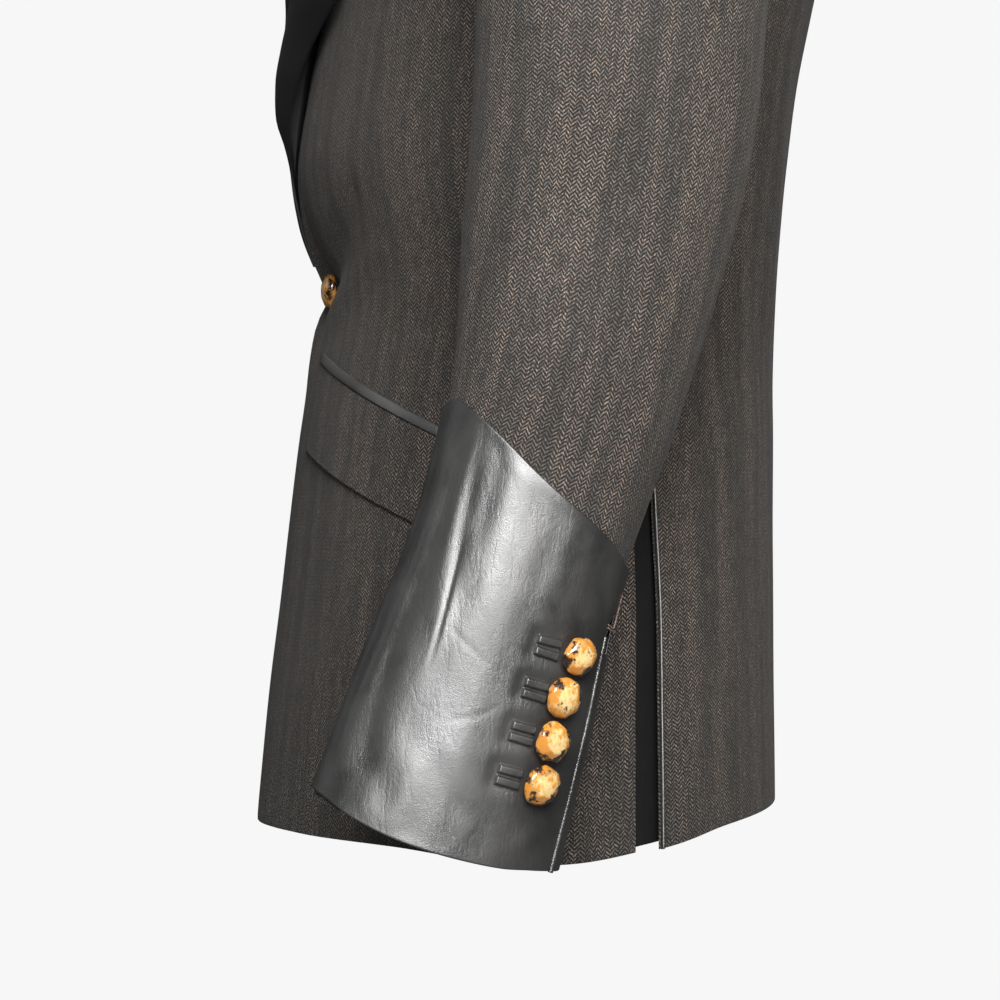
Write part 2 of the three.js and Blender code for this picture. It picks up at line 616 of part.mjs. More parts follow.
function buttonGeometry({ radius, height }) {
  const profile = [
    [0, 0], [0.5, 0], [0.62, 0.12], [0.95, 0.28], [1, 0.45], [0.9, 0.7], [0.55, 0.93], [0, 1],
  ].map(([r, h]) => new THREE.Vector2(r * radius, h * height));
  const lathe = new THREE.LatheGeometry(profile, BUTTON_SIDES);
  lathe.rotateX(Math.PI / 2);
  return lathe;
}

// Button standing on a surface, its axis along the normal.
function addButton(name, size, base, normal, side) {
  const geometry = weld(buttonGeometry(size));
  const turn = new THREE.Quaternion().setFromUnitVectors(new THREE.Vector3(0, 0, 1), normal);
  geometry.applyQuaternion(turn);
  geometry.translate(base.x, base.y, base.z);
  if (side < 0) geometry.scale(-1, 1, 1);
  const positions = Array.from(geometry.attributes.position.array);
  addMesh(name, closedGeometry(positions, Array.from(geometry.index.array)), horn);
}

// Joins vertices that share a place, dropping triangles without area.
function weld(geometry) {
  const source = geometry.attributes.position;
  const keys = new Map();
  const positions = [];
  const map = [];
  for (let i = 0; i < source.count; i += 1) {
    const point = [source.getX(i), source.getY(i), source.getZ(i)];
    const key = point.map((value) => Math.round(value * 1e4)).join(',');
    if (!keys.has(key)) {
      keys.set(key, positions.length / 3);
      positions.push(...point);
    }
    map.push(keys.get(key));
  }
  const faces = [];
  for (let i = 0; i < geometry.index.count; i += 3) {
    const [a, b, c] = [0, 1, 2].map((k) => map[geometry.index.getX(i + k)]);
    if (a !== b && b !== c && a !== c) faces.push(a, b, c);
  }
  const welded = new THREE.BufferGeometry();
  welded.setAttribute('position', new THREE.Float32BufferAttribute(positions, 3));
  welded.setIndex(faces);
  return welded;
}

function addCuffButtons(prefix, side) {
  CUFF_BUTTON_UPS.forEach((up, i) => {
    const turn = turnForReach(CUFF_BUTTON_REACH, up);
    const distance = 2 - up / SLEEVE_LENGTH;
    const base = lifted(cuffSurface, turn, distance, CUFF_LIFT + SEAM);
    const normal = base.clone().sub(lifted(cuffSurface, turn, distance, 0)).normalize();
    addButton(`${prefix}_cuff_button_${i + 1}`, SLEEVE_BUTTON, base, normal, side);
  });
}

// Bound buttonhole: a short patch with two raised lips.
function addButtonholes(prefix, side) {
  CUFF_BUTTON_UPS.forEach((up, i) => {
    const start = turnForReach(CUFF_BUTTON_REACH - SLEEVE_BUTTON.radius - HOLE_GAP, up);
    const end = turnForReach(BUTTONHOLE_END_REACH, up);
    addWall(`${prefix}_buttonhole_${i + 1}`, cuffSurface, evenly(3, start, end), HOLE_ROWS,
      (turn, row) => (
        { a: turn, b: 2 - (up + row.across) / SLEEVE_LENGTH, lift: CUFF_LIFT + HOLE_STAND + row.ridge }
      ), HOLE_WALL, leather, side);
  });
}

function addLapel(name, side) {
  const rows = [-446, -434, -420, -402, -390, -378, -360, -345, -335, -325, -310, -290, -258,
    -215, -170, -125, -88, LAPEL_TOP];
  const kept = side > 0 ? rows : rows.filter((z) => z > UNDER_LAPEL_LOW);
  addWall(name, bodyPoint, evenly(6), kept, (part, z) => {
    const value = (column) => curve(LAPEL_SECTIONS, 'z', z, column);
    const start = side > 0 ? rollX(z) : Math.max(rollX(z), UNDER_LAPEL_X - rollX(z));
    const out = (value('edgeX') - start) * part ** LAPEL_SWELL;
    const x = start + out;
    const b = z - GORGE_DROP * out * smooth(GORGE_START, LAPEL_TOP, z);
    const rest = FACING + LAPEL_GAP + Math.max(centreLift(x, b, side * LAYER), 0);
    const lip = side > 0 ? edgeLip(x, z) : 0;
    const bulge = value('bulge') * Math.sin(Math.PI * part ** LAPEL_CREST);
    const lift = rest + lip + bulge + value('edge') * part;
    return { a: angleForX(x, b), b, lift };
  }, FACING, satin, side);
}

for (const row of COLLAR_SECTIONS) {
  row.seamAngle ??= angleForX(rollX(row.seamZ) - COLLAR_STEP, row.seamZ);
}

// Section of the collar at one station: stand, fold and leaf.
function collarPoint(along, part) {
  const side = along < 0 ? -1 : 1;
  const at = Math.abs(along);
  const value = (column) => curve(COLLAR_SECTIONS, 'along', at, column);
  const seam = lifted(bodyPoint, value('seamAngle'), value('seamZ'), -COLLAR_SEAM_DEPTH);
  const fold = new THREE.Vector3(value('foldX'), value('foldY'), value('foldZ'));
  const edge = lifted(bodyPoint, value('edgeAngle'), value('edgeZ'), COLLAR_REST);
  const out = edge.clone().sub(seam).setZ(0).normalize();
  const { inside, insideDrop, outside, outsideDrop, crown, crownRise } = COLLAR_FOLD;
  const inFold = fold.clone().addScaledVector(out, -inside).setZ(fold.z - insideDrop);
  const outFold = fold.clone().addScaledVector(out, outside).setZ(fold.z - outsideDrop);
  const middle = outFold.clone().lerp(edge, 0.5).addScaledVector(out, crown);
  middle.z += crownRise;
  const path = new THREE.CatmullRomCurve3([seam, inFold, fold, outFold, middle, edge], false, 'centripetal');
  const point = path.getPoint(part);
  point.x *= side;
  return point;
}

function addCollar() {
  const stations = evenly(28, -1, 1);
  const parts = [0, 0.1, 0.2, 0.3, 0.4, 0.5, 0.6, 0.8, 1];
  const sheet = (depth) => stations.map((along) => parts.map((part) => {
    const step = COLLAR_PROBE;
    const before = collarPoint(Math.max(along - step, -1), part);
    const after = collarPoint(Math.min(along + step, 1), part);
    const inner = collarPoint(along, Math.max(part - step, 0));
    const outer = collarPoint(along, Math.min(part + step, 1));
    const normal = outer.sub(inner).cross(after.sub(before)).normalize();
    return collarPoint(along, part).addScaledVector(normal, depth);
  }));
  addMesh('collar', wallGeometry(sheet(0), sheet(FACING)), satin);
}

// Pocket line on the left front: part 0 at the front end, 1 at the side end.
function pocketPlace(part, drop, lift) {
  const z = lerp(POCKET.z0, POCKET.z1, part ** POCKET_SAG) - drop;
  return { a: lerp(POCKET.angle0, POCKET.angle1, part), b: z, lift };
}

function addPocket(prefix, side) {
  addWall(`${prefix}_pocket_welt`, bodyPoint, evenly(8), [0, 0.5, 1], (part, r) => (
    pocketPlace(part, r * POCKET.welt, POCKET_GAP + LEATHER + (r === 0.5 ? WELT_CROWN : 0))
  ), LEATHER, leather, side);
  addWall(`${prefix}_pocket_flap`, bodyPoint, evenly(8), evenly(4), (part, r) => (
    pocketPlace(part, POCKET.welt + FLAP_GAP + r * POCKET.flap, POCKET_GAP + LEATHER + r * FLAP_STAND)
  ), LEATHER, cloth, side);
}

function addFrontButton() {
  const angle = angleForX(BUTTON_X, BUTTON_HEIGHT);
  const lift = centreLift(BUTTON_X, BUTTON_HEIGHT, LAYER) + edgeLip(BUTTON_X, BUTTON_HEIGHT);
  const base = lifted(bodyPoint, angle, BUTTON_HEIGHT, lift + BUTTON_SHANK);
  const normal = new THREE.Vector3(Math.sin(radians(BUTTON_LEAN)), -Math.cos(radians(BUTTON_LEAN)), 0);
  addButton('front_button', FRONT_BUTTON, base, normal, 1);
}

for (const [prefix, side] of [['left', 1], ['right', -1]]) {
  addFront(`${prefix}_front`, side);
  addSide(`${prefix}_side`, side);
  addBack(`${prefix}_back`, side);
  addVentUnderlap(`${prefix}_vent_underlap`, side);
  addVentPiping(`${prefix}_vent_piping`, side);
  addSleeve(`${prefix}_top_sleeve`, TOP_SLEEVE_TURNS, side);
  addSleeve(`${prefix}_under_sleeve`, UNDER_SLEEVE_TURNS, side);
  addCuff(`${prefix}_cuff`, side);
  addCuffUnderlap(`${prefix}_cuff_underlap`, side);
  addCuffButtons(prefix, side);
  addButtonholes(prefix, side);
  addLapel(`${prefix}_lapel`, side);
  addPocket(prefix, side);
}
addCollar();
addFrontButton();

export default group;
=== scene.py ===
"""A tailored blazer worn by nobody: herringbone cloth, leather cuffs and piping, satin lapels.

Lengths inside the shape functions are millimetres; meshes are written in metres.
The garment faces -Y, +X is the wearer's left and +Z is up.
"""

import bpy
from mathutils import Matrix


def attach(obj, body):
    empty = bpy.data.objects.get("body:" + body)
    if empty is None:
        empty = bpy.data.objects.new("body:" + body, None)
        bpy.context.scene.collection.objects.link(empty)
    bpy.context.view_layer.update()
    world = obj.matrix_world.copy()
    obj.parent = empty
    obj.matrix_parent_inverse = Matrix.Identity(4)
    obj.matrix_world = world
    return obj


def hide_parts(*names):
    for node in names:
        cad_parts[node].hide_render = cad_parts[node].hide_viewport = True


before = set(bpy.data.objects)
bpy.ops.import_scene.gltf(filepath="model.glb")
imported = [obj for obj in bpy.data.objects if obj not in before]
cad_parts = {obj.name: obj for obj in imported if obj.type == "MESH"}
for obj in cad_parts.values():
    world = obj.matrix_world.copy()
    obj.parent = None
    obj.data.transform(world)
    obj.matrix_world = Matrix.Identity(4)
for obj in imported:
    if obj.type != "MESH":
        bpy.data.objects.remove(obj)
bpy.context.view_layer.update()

import math

import bmesh
import bpy
import numpy as np
from bpy.props import FloatProperty, FloatVectorProperty, IntProperty, PointerProperty
from mathutils import Vector

bl_info = {
    "name": "Blazer with leather cuffs",
    "version": (1, 0, 0),
    "blender": (4, 5, 0),
    "location": "3D View > Sidebar > Blazer",
    "description": "Builds the cloth, leather, satin and horn pieces of a blazer",
    "category": "Add Mesh",
}

CLOTH_WALL = 1.3
LEATHER_WALL = 1.2
SATIN_WALL = 1.4
HOLE_WALL = 0.9
WELT_WALL = 1.6
PIPING_WALL = 1.7
BEAD_WALL = 1.2
FACING = 1.8  # wall of the lapels' solids, which sets their height over the front
LEATHER = 1.4  # wall of the leather's solids, which sets the height of the leather
SEAM_GAP = 0.03
SEAM_LAP = 0.3  # how far each back reaches past the middle seam
HEM = -735.0
NECK = 0.0
HEM_FINE = 16.0  # closer rows up to this height above the hem
LAP = 16.0
LAYER = 1.5  # how far the overlapping fronts part from their common surface
LAYER_REACH = (35, 70)  # distance from the middle over which they come together
LAYER_TOP = (-345, -315)
ROLL_START = -445.0
ROLL_NECK_X = 60.0
COLLAR_STEP = 3.0
CUTAWAY_START = -600.0
BUTTON_HEIGHT = -463.0
BUTTON_SHANK = 2.9
BUTTON_X = 11.0
BUTTON_LEAN = 12.0  # degrees that the front button faces to the left
LIP_HEIGHT = 6.5  # how far the fastened edge stands forward
LIP_REACH = (-15, 4)
LIP_SPREAD = 37
VENT_SWING = 0.8
VENT_SWING_TOP = -560.0
VENT_GAP = 9.0
VENT_TOP = -500.0
VENT_CLOSING = 70.0  # length over which the open vent closes to its seam
VENT_FLARE = 6.0
VENT_FLARE_SHARE = 0.3  # share of the back's width over which the flare fades
SIDE_DIP_START = -450.0
UNDERLAP_ANGLES = (-5.5, 11.0)
UNDERLAP_DEPTH = 1.9
PIPING_ANGLE = 0.15
PIPING_WIDTH = 0.6  # in degrees of the body
PIPING_CROWN = 0.5
SLEEVE_LENGTH = 380.0
CREASE_SCALE = 3.0  # millimetres for each degree of the body
CUFF_SCALE = 0.85  # the same for the cuff
HEM_RISE_REACH = 190.0

# Level sections of the body: height, half width, depth before and behind the middle, roundness.
BODY_SECTIONS = np.array([
    (-750, 204, 126, 136, 2.3), (-735, 203, 124.5, 136.5, 2.3), (-670, 200, 118, 136, 2.3),
    (-623, 197, 112, 136, 2.3), (-584, 193, 107.6, 136.5, 2.25), (-540, 188, 102.2, 137.5, 2.2),
    (-509, 184, 96.8, 138, 2.15), (-463, 181, 89, 140.5, 2.1), (-425, 182, 99.5, 143.5, 2.1),
    (-400, 184, 103, 146.5, 2.05), (-360, 190, 97.5, 152, 2), (-320, 197, 92, 160, 2),
    (-270, 206, 100, 169, 2.15), (-200, 212, 102, 168, 2.25), (-130, 214, 96, 150, 2.3),
    (-90, 216, 86, 131, 2.3), (-65, 215, 77, 115, 2.3), (-47, 211, 70, 103, 2.3),
    (-40, 190, 68, 98, 2.3), (-25, 143, 63, 88, 2.3), (-10, 97, 58, 79, 2.3),
    (0, 70, 55, 72, 2.3), (10, 58, 50, 66, 2.3),
])

# Creases of the body: angle and height of both ends, height of the ridge, spread.
BODY_CREASES = (
    (0, -463, 3, -463, -6, 20),
    (6, -468, 34, -425, -3.5, 9),
    (8, -480, 42, -452, 2.5, 9),
    (48, -492, 62, -482, -3, 13),
    (78, -470, 84, -380, -3, 12),
    (128, -500, 138, -330, -3, 18),
    (152, -470, 149, -270, 2.5, 18),
)

# The hem line: angle, and how much it rises there.
HEM_RISE = np.array([
    (0, 0), (12, 2), (30, 4.5), (60, 5), (90, -1.5), (108, 4.4), (125, 11), (145, 14), (180, 15),
], float)

ARMHOLE_MIDDLE = -160.0
ARMHOLE_HALF = 113.0
ARMHOLE_FRONT = 33.4
ARMHOLE_BACK = 29.0
SIDE_SEAM_TURN = 138.8

HEAD_LIFT = 0.5  # how far the sleeve head starts over the body, and beside its edge
HEAD_GAP = 0.3
HEAD_OUT = (0.45, 0.5)  # its direction there: outwards, at the underarm and more on top
HEAD_FORWARD = -0.1
HEAD_UP = (-0.85, 0.5)
HEAD_LEAVE = (14, 64)  # pull of the head's curve at the armhole: at the underarm, more on top
HEAD_ARRIVE = (22, 108)  # the same at the arm
HEAD_TUCK = (3.0, 2.0)  # how far the sleeve's edge runs back and sinks under the body
HEAD_RADIUS = 70.0
ARM_RADIUS = 50.0
ARM_TOP = 400.0
ARM_PROBE = 0.5
# Sleeve panels: name, first and last turn, columns, turn of the grain line.
SLEEVE_PANELS = (("top_sleeve", -102.0, 102.0, 76, 0.0), ("under_sleeve", 102.0, 258.0, 50, 180.0))

# Arm sections: distance above the cuff edge, centre x, y, z, half widths across and deep.
ARM_SECTIONS = np.array([
    (0, 276, -57.5, -713, 38, 54), (58, 277, -40.5, -657, 38.5, 50.5),
    (117, 277, -23.4, -601, 40, 45.5), (156, 276, -11, -563, 42, 46.5),
    (194, 274, -0.5, -527, 45, 49.5), (260, 268, 12.3, -463, 49, 57.5),
    (315, 262, 21.8, -409, 52, 61.7), (380, 254, 27.5, -345, 53, 64),
    (400, 252, 29, -325, 53, 64.5),
])

# Upper edge of the cuff: turn round the arm, distance above the cuff edge.
CUFF_TOP = np.array([
    (-90, 131), (-68, 133), (-45, 139), (0, 152), (45, 171), (75, 178), (105, 168), (180, 150),
    (250, 131), (276, 122),
], float)
# Lower edge of the cuff: turn round the arm, distance above the end of the sleeve.
CUFF_LOW = np.array([
    (-90, 0), (-66, 0), (-46, -1.2), (-30, -3), (-8, -4), (8, -4), (25, -3), (47, 0), (65, 3),
    (81, 4), (110, 4), (180, 2), (276, 0),
], float)
CUFF_FIRST_TURN = -63.0
CUFF_LAST_TURN = 272.0
CUFF_CORNER = 22.0  # degrees that the cuff's upper corner reaches past the vent
CUFF_CORNER_SHARES = (0.75, 0.95)
CUFF_CORNER_WIDTH = 12
CUFF_EDGE = 7  # the cuff lies smooth within this distance of its edges
CUFF_CLEARANCE = 0.7
CUFF_LIFT = CUFF_CLEARANCE + LEATHER
CUFF_BUTTON_UPS = (90, 71.5, 53, 34.5)
CUFF_BUTTON_REACH = 33.0
BUTTONHOLE_END_REACH = 15.0
CUFF_UNDERLAP_UP = 94
CUFF_UNDERLAP_TURNS = (272.6, 296.4)
SLEEVE_BUTTON = (7.8, 6.5)
FRONT_BUTTON = (9.5, 7.0)
DOME = (9.2, 7.6)
BUTTON_SHIFTS = (-1.4, -2.6, -1.7, -0.6)
BUTTON_BEVEL = 0.0011
# Buttonhole patch: half width, half distance and half width of its lips, their height.
HOLE_HALF = 4.7
HOLE_LIP_MIDDLE = 2.35
HOLE_LIP_HALF = 1.85
HOLE_LIP_HEIGHT = 1.9
HOLE_LIP_POWERS = (5, 0.45)  # how square the lip's profile is, and how flat on top
HOLE_LIP_END = 0.05  # share of a lip's length in which it ends
HOLE_OPENED = (0.45, 0.15)  # how much wider the slit is at the button: first hole, the others
HOLE_SINK = 0.35
HOLE_ENDS = (0.5, 1.2)  # how far the patch runs under the button and past the last reach
BEAD_WIDTH = 2.8  # in degrees of the cuff
BEAD_HEIGHT = 0.95
BEAD_UPS = (-0.5, 101)
BEAD_GAP = 0.2  # in degrees of the cuff
BEAD_STAND = 0.1

# Lapel: height, x of the free edge, bulge, how far the edge stands off.
LAPEL_SECTIONS = np.array([
    (-446, -13, 0, 0), (-434, -10, 0, 0), (-420, -6.5, 0.2, 0.3), (-402, -2, 0.6, 1.2),
    (-390, 8, 3.8, 3.5), (-378, 19, 9, 6.5), (-360, 37, 12.5, 7), (-345, 53, 13.5, 6),
    (-335, 69, 14, 5.5), (-325, 86, 15, 4.5), (-310, 97, 14.5, 3.5), (-290, 108, 12.5, 3),
    (-250, 117, 9.5, 2), (-180, 124, 6, 1), (-120, 128, 5, 1),
    (-57, 131, 4, 1),
])
LAPEL_TOP = -57.0
LAPEL_FOOT = -446.0
LAPEL_CLOSING = -405.0  # up to here the lapel eases off the front
COVERED_LAPEL_FOOT = -360.0
COVERED_LAPEL_X = 3
LAPEL_SWELL = 1.6  # above 1, the columns lie closer at the roll
LAPEL_CREST = 0.75  # below 1, the bulge crests nearer to the roll
LAPEL_TURN = 170  # degrees of the rolled edge
LAPEL_CLOSED = 0.3  # share of the lapel's height that is left at its foot
LAPEL_ROLL_EXTRA = 1.2
GORGE_START = -200
LAPEL_GAP = 0.9
GORGE_DROP = 0.52

# Collar from the middle back (0) to the gorge (1): seam angle and height, fold x, y, z,
# edge angle and height.
COLLAR_SECTIONS = np.array([
    (0, 180, 1, 0, 67, 36, 180, -15), (0.25, 136, 1, 45, 48, 33, 136, -15),
    (0.5, 90, 1, 65, 4, 24, 91, -16), (0.6, 67, 1.5, 63.5, -18, 16, 64, -21),
    (0.7, 51, 1, 60, -38, 10, 45, -31), (0.8, 0, -12, 57, -54, -1, 34, -43),
    (0.9, 0, -30, 54, -67, -19, 28, -58), (1, 0, -48, 50, -79, -46, 25, -75),
])
COLLAR_REST = 4.5
COLLAR_SEAM_DEPTH = 0.4
COLLAR_SIZE = (230, 90)  # half length and width of the cut
COLLAR_PROBE = 0.004

POCKET_ANGLES = (13.0, 75.0)
POCKET_HEIGHTS = (-497.5, -545.0)
POCKET_WELT = 5.0
POCKET_FLAP = 44.0
POCKET_SAG = 1.1
POCKET_GAP = 1.1
WELT_CROWN = 0.45
FLAP_GAP = 0.4
FLAP_STAND = (0.7, 0.5)  # height of the flap's top over the pocket gap, and its further lift

# Grain lines: the angle from which each panel's weave is measured.
FRONT_GRAIN = 45
SIDE_GRAIN = 88
BACK_GRAIN = 150
PIPING_GRAIN = 90
LAPEL_GRAIN = 20
CUFF_UNDERLAP_GRAIN = 280
BEAD_GRAIN = -68

# Material and wall of each kind of piece. The satin kind also lays the vent underlaps as a
# near-black sheet, which is painted shade.
KINDS = {
    "cloth": ("Herringbone cloth", CLOTH_WALL),
    "leather": ("Black leather", LEATHER_WALL),
    "satin": ("Black satin", SATIN_WALL),
}

# Probe along a surface: step, lowest and highest place.
BODY_PROBE = (0.2, -749, 9)
SLEEVE_PROBE = (0.001, -1, 2.02)
PROBE_ANGLE = 0.05
INSET_SEARCH = 0.2
INSET_HALVINGS = 24

# Lamps: name, place, size, power, tint, whether it only adds gloss.
LIGHTS = (
    ("key", (1.5, 0.02, 0.1), (0.7, 0.7), 37, (1.0, 0.985, 0.965), False),
    ("softbox", (2.08, -0.52, -0.13), (1.2, 0.8), 70, (1.0, 1.0, 1.0), True),
    ("back", (-2.0, 1.2, 1.0), (1.6, 1.6), 12, (1.0, 1.0, 1.0), False),
    ("front", (-0.9, -2.6, 0.7), (1.6, 1.6), 5, (1.0, 1.0, 1.0), False),
)
LIGHT_TARGET = (0.25, -0.02, -0.5)
BACKDROP = (0.93, 0.93, 0.93, 1)
AMBIENT = 0.036
LENS = 108
SENSOR = 36
CLIP_START = 0.01
FLOOR_HEIGHT = -1.25
FLOOR_RINGS = (0.0, 1.5, 3.0, 6.0)


# ---- Shape functions ----

def smooth(low, high, value):
    """Eases from 0 at low to 1 at high: 3 t squared less 2 t cubed."""
    t = np.clip((value - low) / (high - low), 0, 1)
    return t * t * (3 - 2 * t)


def curve(table, at, column):
    """Cubic pieces through a table's rows; a row's slope is that between its two neighbours."""
    keys = table[:, 0]
    values = table[:, column]
    last = len(keys) - 1
    at = np.asarray(at, float)
    i = np.clip(np.searchsorted(keys, at, side="left") - 1, 0, last - 1)
    here = np.arange(last + 1)
    before = np.maximum(here - 1, 0)
    after = np.minimum(here + 1, last)
    slope = (values[after] - values[before]) / (keys[after] - keys[before])
    span = keys[i + 1] - keys[i]
    t = np.clip((at - keys[i]) / span, 0, 1)
    return (values[i] * (2 * t**3 - 3 * t**2 + 1) + slope[i] * span * (t**3 - 2 * t**2 + t)
            + values[i + 1] * (3 * t**2 - 2 * t**3) + slope[i + 1] * span * (t**3 - t**2))


def unit(vectors):
    """Vectors divided by their lengths."""
    return vectors / np.maximum(np.linalg.norm(vectors, axis=-1, keepdims=True), 1e-9)


def ridges(creases, across, along, scale):
    """Sum of soft ridges: each falls off as a bell curve of the distance from its line.

    The lines run between two places; across is turned into millimetres by scale.
    """
    total = np.zeros(np.broadcast(across, along).shape)
    for a0, b0, a1, b1, height, spread in creases:
        dx = (a1 - a0) * scale
        dz = b1 - b0
        px = (across - a0) * scale
        pz = along - b0
        t = np.clip((px * dx + pz * dz) / (dx * dx + dz * dz), 0, 1)
        off = np.hypot(px - t * dx, pz - t * dz)
        total = total + height * np.exp(-((off / spread) ** 2))
    return total


def body_point(angle, z):
    """Body: a rounded oval at each height, x = width sin^p, y = -depth cos^p, plus creases.

    Angle 0 is the middle front, 90 the left side, 180 the middle back.
    """
    angle, z = np.broadcast_arrays(np.asarray(angle, float), np.asarray(z, float))
    power = 2 / curve(BODY_SECTIONS, z, 4)
    sine = np.sin(np.radians(angle))
    cosine = np.cos(np.radians(angle))
    depth = np.where(cosine > 0, curve(BODY_SECTIONS, z, 2), curve(BODY_SECTIONS, z, 3))
    x = curve(BODY_SECTIONS, z, 1) * np.sign(sine) * np.abs(sine) ** power
    y = -depth * np.sign(cosine) * np.abs(cosine) ** power
    crease = ridges(BODY_CREASES, np.abs(angle), z, CREASE_SCALE)
    rise = curve(HEM_RISE, np.abs(angle), 1) * (1 - smooth(HEM, HEM + HEM_RISE_REACH, z))
    return np.stack([x + crease * sine, y - crease * cosine, z + rise], -1)


def angle_for_x(x, z):
    """The body angle whose point at height z lies at x, from the inverse of the oval."""
    width = curve(BODY_SECTIONS, z, 1)
    power = curve(BODY_SECTIONS, z, 4)
    sine = np.clip(np.abs(x) / width, 0, 1) ** (power / 2)
    return np.sign(x) * np.degrees(np.arcsin(sine))


def armhole_angle(turn):
    """Body angle of the armhole: 90 less the sine of the turn times its reach."""
    sine = np.sin(np.radians(turn))
    return 90 - sine * np.where(sine > 0, ARMHOLE_FRONT, ARMHOLE_BACK)


def armhole_height(turn):
    """Height of the armhole: its middle plus half its height times the cosine of the turn."""
    return ARMHOLE_MIDDLE + ARMHOLE_HALF * np.cos(np.radians(turn))


def back_seam_angle(z):
    """Seam between side and back, drawn a little forward towards the hem."""
    return armhole_angle(-SIDE_SEAM_TURN) - VENT_SWING * (1 - smooth(HEM, VENT_SWING_TOP, z))


def arm_frame(up):
    """Centre of the arm at a distance above the cuff, with its along, out and rear axes."""
    def centre_at(height):
        return np.stack([curve(ARM_SECTIONS, height, k) for k in (1, 2, 3)], -1)

    up = np.asarray(up, float)
    probe = np.clip(up, ARM_PROBE, ARM_TOP - ARM_PROBE)
    along = unit(centre_at(probe + ARM_PROBE) - centre_at(probe - ARM_PROBE))
    centre = centre_at(np.maximum(up, 0)) + along * np.minimum(up, 0)[..., None]
    out = unit(np.array([1.0, 0, 0]) - along * along[..., :1])
    return centre, along, out, np.cross(along, out)


def arm_point(turn, up):
    """Arm: an oval round the centre line, across cos(turn) outwards, deep sin(turn) forwards."""
    turn, up = np.broadcast_arrays(np.asarray(turn, float), np.asarray(up, float))
    centre, _, out, rear = arm_frame(up)
    across = curve(ARM_SECTIONS, np.maximum(up, 0), 4)
    deep = curve(ARM_SECTIONS, np.maximum(up, 0), 5)
    return (centre + out * (across * np.cos(np.radians(turn)))[..., None]
            - rear * (deep * np.sin(np.radians(turn)))[..., None])


def sleeve_point(turn, distance):
    """Sleeve: 0..1 is the head, a cubic Bezier from armhole to arm; 1..2 is the arm itself.

    Below 0 it runs back along its own line and sinks, so that its edge lies under the body.
    """
    turn, distance = np.broadcast_arrays(np.asarray(turn, float), np.asarray(distance, float))
    top = (1 + np.cos(np.radians(turn))) / 2
    sine = np.sin(np.radians(turn))
    leave = unit(np.stack([HEAD_OUT[0] + HEAD_OUT[1] * top, HEAD_FORWARD * sine,
                           HEAD_UP[0] + HEAD_UP[1] * top], -1))
    start, normal = lifted(body_point, armhole_angle(turn), armhole_height(turn), HEAD_LIFT)
    start = start + leave * HEAD_GAP
    end = arm_point(turn, SLEEVE_LENGTH)
    along = arm_frame(SLEEVE_LENGTH)[1]
    first = start + leave * (HEAD_LEAVE[0] + HEAD_LEAVE[1] * top)[..., None]
    second = end + along * (HEAD_ARRIVE[0] + HEAD_ARRIVE[1] * top)[..., None]
    t = np.clip(distance, 0, 1)[..., None]
    head = ((1 - t) ** 3 * start + 3 * (1 - t) ** 2 * t * first + 3 * (1 - t) * t * t * second
            + t**3 * end)
    tuck = np.minimum(distance, 0)[..., None]
    head = head + tuck * (leave * HEAD_TUCK[0] + normal * HEAD_TUCK[1])
    arm = arm_point(turn, SLEEVE_LENGTH * (2 - np.maximum(distance, 1)))
    return np.where(distance[..., None] >= 1, arm, head)


def cuff_surface(turn, distance):
    """The arm's own surface, also just below the cuff edge."""
    return arm_point(turn, SLEEVE_LENGTH * (2 - np.asarray(distance, float)))


def lifted(surface, a, b, lift):
    """Points of a surface moved along its normal, and the normals: dA cross dB."""
    step, low, high = BODY_PROBE if surface is body_point else SLEEVE_PROBE
    du = surface(a + PROBE_ANGLE, b) - surface(a - PROBE_ANGLE, b)
    dv = surface(a, np.minimum(b + step, high)) - surface(a, np.maximum(b - step, low))
    normal = unit(np.cross(du, dv))
    return surface(a, b) + normal * np.asarray(lift, float)[..., None], normal


def inset_angle(boundary, towards, z, distance):
    """Angle at a small distance from a boundary angle, found by halving the interval."""
    origin = body_point(boundary, z)
    near = np.zeros(np.shape(origin)[:-1])
    far = near + INSET_SEARCH
    for _ in range(INSET_HALVINGS):
        middle = (near + far) / 2
        angle = boundary + (towards - boundary) * middle
        short = np.linalg.norm(body_point(angle, z) - origin, axis=-1) < distance
        near = np.where(short, middle, near)
        far = np.where(short, far, middle)
    return boundary + (towards - boundary) * far


def roll_x(z):
    """x of the roll line, straight from the button to the neck."""
    return -LAP + (ROLL_NECK_X + LAP) * (z - ROLL_START) / (NECK - ROLL_START)


def front_edge_x(z, corner, cutaway):
    """Front edge: roll line above, straight below, then cut away to a rounded corner."""
    over = np.clip(HEM + corner - z, 0, corner)
    low = -LAP + cutaway * smooth(CUTAWAY_START, HEM, z) + corner - np.sqrt(corner**2 - over**2)
    return np.where(z > ROLL_START, roll_x(z), low)


def centre_lift(x, z, layer):
    """How far the two overlapping fronts part near the middle."""
    return layer * (1 - smooth(*LAYER_REACH, np.abs(x))) * (1 - smooth(*LAYER_TOP, z))


def edge_lip(x, z):
    """The fastened edge stands forward of the button."""
    reach = 1 - smooth(*LIP_REACH, x)
    return LIP_HEIGHT * reach * np.exp(-(((z - BUTTON_HEIGHT) / LIP_SPREAD) ** 2))


# ---- Meshes ----

RIM_STEPS = np.array([0.0, 0.1, 0.35, 0.7, 1.0])


